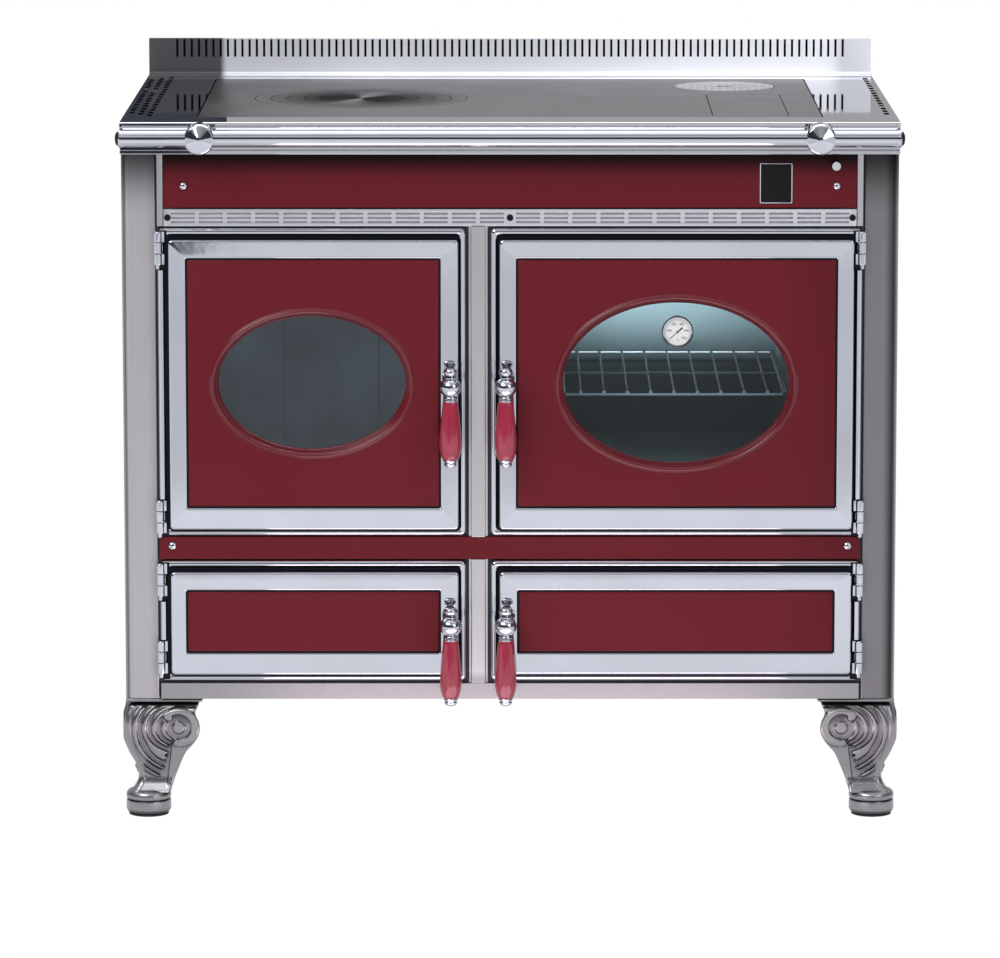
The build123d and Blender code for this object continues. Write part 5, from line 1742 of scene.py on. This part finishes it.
@dataclass
class Thermometer:
    """The round dial in the oven window."""

    x: float = 215.6
    z: float = 640.6
    radius: float = 20.6
    first_mark: float = 225.0
    mark_step: float = 10.8

    def build(self, shop: Shop, finishes: Finishes) -> None:
        """Builds the bezel, face, ring of marks, needle and stem.

        Args:
            shop: hands over the pieces.
            finishes: the stove's finishes.
        """
        body = "oven_door"
        middle = place(self.x, 0.0, self.z)
        bezel = turned("thermometer_bezel", [
            (0.0, 6.5), (self.radius - 1.0, 6.5), (self.radius, 7.4), (self.radius, 14.8),
            (self.radius - 0.6, 16.4), (self.radius - 1.7, 17.4), (self.radius - 2.8, 17.2),
            (self.radius - 3.5, 16.2), (self.radius - 3.8, 14.6), (0.0, 14.6),
        ], middle, Axis.FORWARD, 56)
        shop.hand_over(bezel, body, finishes.chrome, ["oven_thermometer"])
        face = turned(
            "thermometer_face", [(0.0, 14.5), (16.9, 14.5), (16.9, 14.9), (0.0, 14.9)], middle,
            Axis.FORWARD, 48,
        )
        shop.hand_over(face, body, finishes.dial_white)
        marks = [self.mark(index) for index in range(26)]
        print_pieces = joined("thermometer_marks", [*marks, self.needle(), *self.figures()])
        shop.hand_over(print_pieces, body, finishes.dial_black)
        stem = turned(
            "thermometer_stem", [(0.0, -11.5), (4.0, -11.5), (4.0, 6.6), (0.0, 6.6)], middle, Axis.FORWARD,
            24,
        )
        shop.hand_over(stem, body, finishes.chrome)

    def mark(self, index: int) -> Piece:
        """One graduation of the dial."""
        angle = math.radians(self.first_mark - index * self.mark_step)
        long = index % 5 == 0
        bar = block(
            f"thermometer_mark_{index}", place(self.x - 0.25, -15.15, self.z + (13.4 if long else 14.4)),
            place(self.x + 0.25, -14.8, self.z + 15.9), 0.05, 1,
        )
        self.swing(bar, math.pi / 2 - angle)
        return bar

    def needle(self) -> Piece:
        """The thin pointer with its thick tail and boss, resting at the low end of the scale."""
        bar = block(
            "thermometer_pointer", place(self.x - 0.35, -15.6, self.z),
            place(self.x + 0.35, -15.2, self.z + 13.6), 0.1, 1,
        )
        tail = block(
            "thermometer_tail", place(self.x - 0.9, -15.6, self.z - 8.6),
            place(self.x + 0.9, -15.2, self.z - 2.0), 0.3, 1,
        )
        for piece in (bar, tail):
            self.swing(piece, math.radians(-131))
        boss = turned("thermometer_boss", [(0.0, 14.8), (1.4, 14.8), (1.4, 15.8), (0.9, 16.1), (0.0, 16.1)],
                      place(self.x, 0.0, self.z), Axis.FORWARD, 16)
        return joined("thermometer_needle", [bar, tail, boss])

    def figures(self) -> list[Piece]:
        """The generic numbers round the dial and the sign of its unit."""
        radius = 11.0
        labels = [
            (
                str(100 * step), math.radians(self.first_mark - 5 * self.mark_step * step), 3.9,
            ) for step in range(1, 6)
        ]
        labels.append(("\u00b0C", math.radians(270), 3.4))
        made = []
        for words, angle, size in labels:
            deselect()
            bpy.ops.object.text_add(rotation=(math.pi / 2, 0, 0))
            text = bpy.context.object
            text.data.body = words
            text.data.align_x = "CENTER"
            text.data.align_y = "CENTER"
            text.data.size = size * MM
            text.data.extrude = 0.12 * MM
            text.location = place(self.x + radius * math.cos(angle), -15.0, self.z + radius * math.sin(angle))
            take(text)
            bpy.ops.object.convert(target="MESH")
            text = bpy.context.object
            fix(text)
            made.append(text)
        return made

    def swing(self, obj: Piece, angle: float) -> None:
        """Turns a piece clockwise about the dial's middle, seen from the front."""
        middle = place(self.x, 0.0, self.z)
        turn = Matrix.Translation(middle) @ Matrix.Rotation(angle, 4, "Y") @ Matrix.Translation(-middle)
        obj.data.transform(turn)


@dataclass
class Leg:
    """A cast scroll leg: moulded plate, leaf-carved calf with a volute, and a turned foot.

    The relief is worked out for the front left leg, u inwards from its outer face and v up from the floor,
    the same on the front and on the side.
    """

    height: float = 158.0
    plate: float = 100.0
    volute: Pair = (69.0, 119.5)
    columns: int = 84
    rows: int = 130
    reach: float = -3.9
    corner: float = 7.0
    bend_steps: int = 8
    low: float = 31.0
    outer_line: tuple[Pair, ...] = (
        (31.0, 7.0), (35.0, 9.5), (43.0, 14.0), (52.0, 15.8), (62.0, 14.6), (78.0, 8.6), (92.0, 3.6),
        (106.0, -0.6), (120.0, -1.9), (134.0, -0.6), (146.0, 2.6), (153.2, 4.2),
    )
    inner_line: tuple[Pair, ...] = (
        (31.0, 57.0), (35.0, 58.0), (43.0, 60.5), (55.0, 64.6), (66.0, 69.0), (76.0, 73.0), (86.0, 78.0),
        (94.0, 85.0), (102.0, 91.2), (110.0, 95.0), (119.0, 96.3), (128.0, 94.6), (135.0, 91.2),
        (140.0, 90.6), (146.0, 93.5), (153.2, 96.0),
    )

    def build(self, shop: Shop, finishes: Finishes) -> None:
        """Builds the four legs as mirror copies of the first.

        Args:
            shop: hands over the pieces.
            finishes: the stove's finishes.
        """
        first = self.front_left()
        across = Vector((1, 0, 0))
        back = Vector((0, 1, 0))
        centre = place(0, 312.5, 0)
        second = mirrored(first, "leg_front_right", across)
        third = mirrored(first, "leg_back_left", back, centre)
        fourth = mirrored(second, "leg_back_right", back, centre)
        for leg in (first, second, third, fourth):
            soften(leg, 60.0)
            shop.hand_over(leg, "root", finishes.leg_iron, ["legs"])
        shop.dressed("foot_pads", finishes.rubber, 0.5)

    def front_left(self) -> Piece:
        """The first leg, in place."""
        carved = self.carved()
        plate = block(
            "leg_plate", place(-HALF_WIDTH, 0, self.height - 5.2),
            place(-HALF_WIDTH + self.plate, self.plate, self.height),
            2.4, 5,
        )
        foot = turned("leg_foot", [
            (0.0, 3.0), (25.6, 3.0), (27.6, 4.2), (28.4, 6.4), (29.2, 7.4), (29.3, 9.0), (29.1, 18.4),
            (28.6, 19.6), (27.2, 20.4),
            *smooth_through([(27.6, 21.0), (29.2, 24.0), (28.8, 28.2), (26.4, 31.6), (22.0, 33.6)], 4),
            (0.0, 34.0),
        ], place(-HALF_WIDTH + 27.5, 27.5, 0), Axis.UP, 64)
        return joined("leg_front_left", [carved, plate, foot])

    def along(self, line: Sequence[Pair], v: float) -> float:
        """The value of an outline at a height, by a smooth line through its points."""
        points = list(line)
        for index in range(len(points) - 1):
            if v <= points[index + 1][0] or index == len(points) - 2:
                before = points[max(index - 1, 0)]
                low, high = points[index], points[index + 1]
                after = points[min(index + 2, len(points) - 1)]
                t = min(max((v - low[0]) / (high[0] - low[0]), 0.0), 1.0)
                return 0.5 * (
                    2 * low[1] + (high[1] - before[1]) * t + (
                        2 * before[1] - 5 * low[1] + 4 * high[1] - after[1]
                    ) * t ** 2
                    + (3 * low[1] - before[1] - 3 * high[1] + after[1]) * t ** 3
                )
        return points[-1][1]

    @staticmethod
    def step(value: float, low: float, high: float) -> float:
        """A soft step from 0 at low to 1 at high."""
        t = min(max((value - low) / (high - low), 0.0), 1.0)
        return t * t * (3 - 2 * t)

    def relief(self, u: float, v: float) -> float:
        """How far the carving stands out at a place on a face, in millimetres.

        Args:
            u: millimetres in from the outer face.
            v: millimetres above the floor.

        Returns:
            The height of the relief, negative where it is sunk.
        """
        outer = self.along(self.outer_line, v)
        from_outer = u - outer
        du, dv = u - self.volute[0], v - self.volute[1]
        radius = math.hypot(du, dv)
        turn = math.degrees(math.atan2(dv, du))
        # the scroll: a rounded band round a sunk ring with a ball in it
        open_side = abs((turn % 360.0) - 198.0)
        band_outer = 27.0
        band_inner = 13.2 + 4.0 * ((turn - 120.0) % 360.0) / 360.0
        middle = (band_outer + band_inner) / 2
        half = (band_outer - band_inner) / 2
        band = math.sqrt(
            max(0.0, 1 - ((radius - middle) / half) ** 2),
        ) if abs(radius - middle) < half else 0.0
        ball = math.sqrt(max(0.0, 1 - (radius / 8.6) ** 2)) if radius < 8.6 else 0.0
        inside = 1 - self.step(radius, band_inner - 1.0, band_inner + 1.0)
        closed = self.step(open_side, 34.0, 62.0)
        inside = inside * closed + (1 - closed)
        scroll = 5.2 * band * closed + 9.0 * ball - 4.2 * inside * (1 - ball)
        # the leaves lie over each other like scales, each crest steep on its inner side
        leaf_edge = self.leaf_edge(v)
        leaf = self.step(from_outer, 7.0, 10.5) * (1 - self.step(u, leaf_edge - 1.6, leaf_edge + 0.4))
        leaf *= self.step(v, 47.0, 53.0) * (1 - self.step(v, 144.0, 150.0))
        carving = leaf * (7.0 * self.scale_height(self.sweep(u, v)) - 2.8)
        # the plain band along the inner edge, and the recess between it and the leaves
        band_left = 54.0 + 0.13 * (v - 56.0)
        plain = self.step(
            u, band_left - 0.8, band_left + 1.2,
        ) * (1 - self.step(v, 96.0, 106.0)) * self.step(v, 36.0, 48.0)
        recess = self.step(from_outer, 8.0, 13.0) * (1 - self.step(u, band_left - 1.0, band_left + 0.6))
        recess *= self.step(v, 44.0, 54.0) * (1 - leaf)
        edge = band_outer * closed + 14.0 * (1 - closed)
        near = 1 - self.step(radius, edge - 0.4, edge + 0.6)
        value = carving - 3.4 * recess + 1.8 * plain + 1.2 * (1 - self.step(from_outer, 6.0, 9.0))
        value = value * (1 - near) + scroll * near
        value = max(value, self.tail(u, v))
        return value - 3.0 * self.step(v, 146.5, 151.5)

    @staticmethod
    def scale_height(count: float) -> float:
        """The height across a leaf, 1 on its crest and 0 in its valley, from the count of leaves."""
        part = count - math.floor(count)
        if part < 0.7:
            t = part / 0.7
            return 1.0 - t * t * (3 - 2 * t)
        t = (part - 0.7) / 0.3
        return t * t * (3 - 2 * t)

    def sweep(self, u: float, v: float) -> float:
        """Counts the leaves outwards from the scroll: whole numbers are the crests."""
        du, dv = u - 72.0, v - 118.0
        reach = math.hypot(du, dv / 0.74)
        if dv < 0:
            flatter = 0.74 + 0.26 * self.step(reach, 44.0, 62.0)
            reach = math.hypot(du, dv / flatter)
        return (reach - 22.0) / 12.5

    @staticmethod
    def leaf_edge(v: float) -> float:
        """The jagged inner edge of the leaves at a height."""
        base = 41.0 + 0.3 * (v - 50.0)
        tooth = ((v - 50.0) / 7.6) % 1.0
        if v > 98.0:
            return base + 6.0 * tooth + (v - 98.0) * 6.0
        return base + 6.0 * tooth

    def tail(self, u: float, v: float) -> float:
        """The rolled tail where the scroll's band leaves the top, at the inner corner."""
        along = math.hypot((u - 88.0) / 7.0, (v - 142.5) / 3.6)
        return 4.0 * math.sqrt(max(0.0, 1 - along ** 2))

    def carved(self) -> Piece:
        """The hollow cast body with its two carved faces, in place."""
        strips: list[Ring] = []
        top = self.height - 4.8
        edge_radius, edge_drop = 3.0, 2.6
        for row in range(self.rows + 1):
            v = self.low + (top - self.low) * row / self.rows
            outer = self.along(self.outer_line, v)
            across = self.along(self.inner_line, v) - outer - self.corner
            line: list[Pair] = []
            for column in range(-self.columns, self.columns + 1):
                if column == 0:
                    continue
                s = abs(column) / self.columns
                u = outer + self.corner + across * s
                over = max(0.0, (s * across - across + edge_radius) / edge_radius)
                edge = edge_drop * (1 - math.sqrt(max(0.0, 1 - over ** 2)))
                depth_in = outer - self.relief(u, v) + edge
                line.append((u, depth_in) if column < 0 else (depth_in, u))
            middle = outer + self.corner
            reach = self.corner + self.relief(middle, v)
            bend = []
            for piece in range(self.bend_steps + 1):
                angle = math.radians(90 * piece / self.bend_steps)
                bend.append((middle - reach * math.sin(angle), middle - reach * math.cos(angle)))
            half = len(line) // 2
            strip = [
                (max(p[0], self.reach), max(p[1], self.reach)) for p in [*line[:half], *bend, *line[half:]]
            ]
            strips.append([place(-HALF_WIDTH + x, depth, v) for x, depth in strip])
        return self.walled(strips)

    def walled(self, strips: list[Ring]) -> Piece:
        """A skinned grid with a wall behind it.

        Args:
            strips: rows of points, from the foot up.

        Returns:
            The leg's body.
        """
        count = len(strips[0])
        deselect()
        bpy.ops.mesh.primitive_grid_add(x_subdivisions=count - 1, y_subdivisions=len(strips) - 1, size=1.0)
        obj = bpy.context.object
        obj.name = "leg_body"
        for row, strip in enumerate(strips):
            for column, point in enumerate(strip):
                obj.data.vertices[row * count + column].co = point
        with editing(obj):
            bpy.ops.mesh.select_all(action="SELECT")
            bpy.ops.mesh.normals_make_consistent(inside=False)
        outward = Vector((-1, -1, 0))
        total = sum((face.normal for face in obj.data.polygons), Vector((0, 0, 0)))
        if total.dot(outward) < 0:
            obj.data.flip_normals()
        apply_modifier(obj, "SOLIDIFY", thickness=8.0 * MM, offset=-1.0, use_even_offset=False)
        return obj


@dataclass
class Studio:
    """Camera, floor, backdrop light and lamps."""

    camera_distance: float = 7.8811
    camera_height: float = 1.6943
    pitch_down: float = 8.995
    lens: float = 222.1
    shift: float = -0.010
    floor_glow: float = 4.6
    black: tuple[float, ...] = (0.0, 0.0, 0.0, 1.0)
    pale: tuple[float, ...] = (0.86, 0.86, 0.87, 1.0)
    dark: tuple[float, ...] = (0.03, 0.03, 0.035, 1.0)

    def build(self) -> None:
        """Sets up the camera, the floor, the world and the lamps."""
        self.camera()
        self.floor()
        self.world()
        self.lamp("key", (-2.2, -3.4, 3.6), (0.0, -0.1, 0.5), (2.6, 1.8), 95.0)
        self.lamp("fill", (3.0, -3.6, 2.0), (0.0, 0.0, 0.5), (2.0, 2.0), 26.0)
        self.lamp("top", (0.0, 0.4, 3.0), (0.0, 0.0, 0.9), (2.4, 1.6), 40.0)
        self.lamp("oven", (0.21, 0.07, 0.68), (0.21, 0.5, 0.6), (0.2, 0.04), 0.7)
        self.lamp("fire", (-0.25, -0.24, 0.72), (-0.25, 0.1, 0.5), (0.2, 0.06), 0.5)
        self.card("card_left", (-2.385, -7.5, 0.8), (3.23, 1.6))
        self.card("card_back", (-1.7, 0.5, 1.225), (2.6, 0.75))
        self.low_light()
        bpy.context.scene.view_settings.view_transform = "Standard"

    def camera(self) -> None:
        """The camera at the photograph's viewing angle."""
        data = bpy.data.cameras.new("camera")
        data.lens = self.lens
        data.sensor_width = 36.0
        data.shift_x = self.shift
        data.clip_end = 60.0
        obj = bpy.data.objects.new("camera", data)
        bpy.context.collection.objects.link(obj)
        obj.location = (0.0, FRONT * MM - self.camera_distance, self.camera_height)
        obj.rotation_euler = (math.radians(90.0 - self.pitch_down), 0.0, 0.0)
        bpy.context.scene.camera = obj

    def panel(self, name: str, middle: Triple, size: Pair, upright: bool, coat: Material) -> None:
        """A plane that only shiny surfaces see.

        Args:
            name: the panel's name.
            middle: its centre in metres.
            size: its width and its height or depth in metres.
            upright: whether it stands facing forwards, rather than lies flat.
            coat: its material.
        """
        deselect()
        turn = math.pi / 2 if upright else 0.0
        bpy.ops.mesh.primitive_plane_add(size=1.0, location=middle, rotation=(turn, 0, 0))
        panel = bpy.context.object
        panel.name = name
        panel.scale = (*size, 1.0)
        fix(panel)
        panel.data.materials.append(coat)
        panel.visible_camera = panel.visible_diffuse = False
        panel.visible_shadow = panel.visible_transmission = False

    def card(self, name: str, middle: Triple, size: Pair) -> None:
        """A dark upright card that darkens what bright metal reflects.

        Args:
            name: the card's name.
            middle: its centre in metres.
            size: its width and height in metres.
        """
        coat = Sheet("Dark card").set(Base_Color=(0.035, 0.04, 0.055, 1.0), Roughness=0.9)
        self.panel(name, middle, size, True, coat)

    def low_light(self) -> None:
        """A flat lit panel on the floor in front, which only shiny rims see."""
        sheet = Sheet("Lit panel")
        grid = sheet.add("TexBrick", {
            "Vector": sheet.place_out, "Scale": 11.0, "Color1": (1.0, 0.96, 0.98, 1.0),
            "Color2": (0.5, 0.34, 0.4, 1.0), "Mortar": (0.35, 0.2, 0.25, 1.0),
        })
        coat = sheet.set(Emission_Color=grid.outputs["Color"], Base_Color=self.black, Emission_Strength=5.0)
        self.panel("low_light", (0.02, -0.68, 0.0006), (0.7, 0.46), False, coat)

    def floor(self) -> None:
        """A wide pale floor, unseen by the camera, which shiny surfaces see in light and dark bands."""
        deselect()
        bpy.ops.mesh.primitive_plane_add(size=60.0, location=(0, 0, -0.0005))
        floor = bpy.context.object
        floor.name = "floor"
        sheet = Sheet("Pale floor")
        shiny = sheet.add("LightPath").outputs["Is Glossy Ray"]
        away = sheet.spread(sheet.axes(sheet.place_out)["Y"], 0.0, 1.0, 0.0, -10.0)
        bands = (
            (0.085, 0.17), (0.115, 0.22), (0.16, 0.22), (0.26, 0.24), (0.32, 0.17), (0.6, 0.165),
            (0.68, 0.21),
        )
        stops = [(position, grey(level, 1.03)) for position, level in bands]
        sheet.set(
            Base_Color=sheet.mixed(shiny, self.pale, self.black), Roughness=0.9,
            Emission_Color=sheet.ramp(away, [(0.03, (0.16, 0.16, 0.165)), *stops, (1.0, (0.2, 0.2, 0.205))]),
            Emission_Strength=sheet.maths("MULTIPLY", shiny, self.floor_glow),
        )
        floor.visible_camera = False
        floor.data.materials.append(sheet.material)

    def world(self) -> None:
        """White for the camera, a soft studio with darker walls for everything else."""
        world = bpy.data.worlds.new("studio")
        bpy.context.scene.world = world
        world.use_nodes = True
        wiring = Wiring(world.node_tree)
        axes = wiring.axes(wiring.add("TexCoord").outputs["Generated"])
        level = wiring.spread(axes["Z"], 0.0, 1.0, -1.0, 1.0)
        walls = ((0.48, 0.5), (0.53, 0.34), (0.62, 0.62), (0.72, 0.3), (0.8, 0.85))
        stops = [(position, grey(tone, 1.04)) for position, tone in walls]
        studio = wiring.ramp(level, [(0.0, (0.35, 0.35, 0.37)), *stops, (1.0, (0.9, 0.9, 0.92))])
        bands = (
            (0.0, 0.0), (0.495, 0.0), (0.51, 0.97), (0.66, 0.97), (0.7, 0.0), (0.84, 0.0), (0.86, 0.7),
            (0.9, 0.7), (0.92, 0.0), (1.0, 0.0),
        )
        horizon = wiring.maths(
            "MULTIPLY", wiring.spread(axes["Y"], 0.0, 1.0, -0.2, -0.5, True),
            wiring.ramp(level, [(position, grey(tone)) for position, tone in bands]),
        )
        sides = wiring.spread(wiring.maths("ABSOLUTE", axes["X"]), 0.0, 0.85, 0.62, 0.86, True)
        rays = wiring.add("LightPath").outputs
        unlit = wiring.maths("MULTIPLY", wiring.maths("MAXIMUM", horizon, sides), rays["Is Glossy Ray"])
        seen = wiring.mixed(
            rays["Is Camera Ray"], wiring.mixed(unlit, studio, self.dark), (1.0, 1.0, 1.0, 1.0),
        )
        background = wiring.tree.nodes["Background"].inputs
        wiring.feed(background["Color"], seen)
        background["Strength"].default_value = 1.0

    def lamp(self, name: str, where: Triple, at: Triple, size: Pair, power: float) -> None:
        """A soft rectangular lamp.

        Args:
            name: the lamp's name.
            where: its place in metres.
            at: the point it faces.
            size: its width and height in metres.
            power: its power in watts.
        """
        data = bpy.data.lights.new(name, "AREA")
        data.shape = "RECTANGLE"
        data.size, data.size_y = size
        data.energy = power
        obj = bpy.data.objects.new(name, data)
        bpy.context.collection.objects.link(obj)
        obj.location = where
        obj.rotation_euler = (Vector(at) - Vector(where)).to_track_quat("-Z", "Y").to_euler()


def main(frame: dict) -> None:
    """Builds the stove's visual model and the studio.
    """
    logging.basicConfig(level=logging.INFO, format="%(name)s %(message)s", stream=sys.stdout)
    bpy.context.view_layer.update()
    deselect()
    shop = Shop(frame)
    finishes = Finishes()
    fire = Door("fire", -453.0, -57.0, 373.7, 773.5, -1, (398.7, 748.5), (241.0, 172.0), (35.9, 32.3))
    oven = Door(
        "oven", -25.0, 453.0, 373.7, 773.5, 1, (398.7, 748.5), (291.0, 208.0), (32.9, 31.9), (2.5, 3.0, 5.0),
    )
    ash = Door("ash", -453.0, -57.0, 183.0, 341.0, -1, (214.0, 316.0), stiles=(33.7, 32.7))
    store = Door(
        "store", -25.0, 453.0, 183.0, 341.0, 1, (214.0, 316.0), stiles=(34.3, 33.0), overlaps=(2.5, 3.0, 4.5),
    )
    doors = (fire, oven, ash, store)
    Studio().build()
    Interior().build(shop, finishes)
    Cabinet().build(shop, finishes)
    Worktop().build(shop, finishes)
    Hob().build(shop, finishes)
    for door in doors:
        door.build(shop, finishes)
        Handle(door).build(shop, finishes)
    Hinges(doors).build(shop, finishes)
    DamperKnob().build(shop, finishes)
    Thermometer().build(shop, finishes)
    Leg().build(shop, finishes)
    deselect()
    log.info("%d pieces handed over", len(shop.pieces))


if __name__ == "__main__":
    main(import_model())
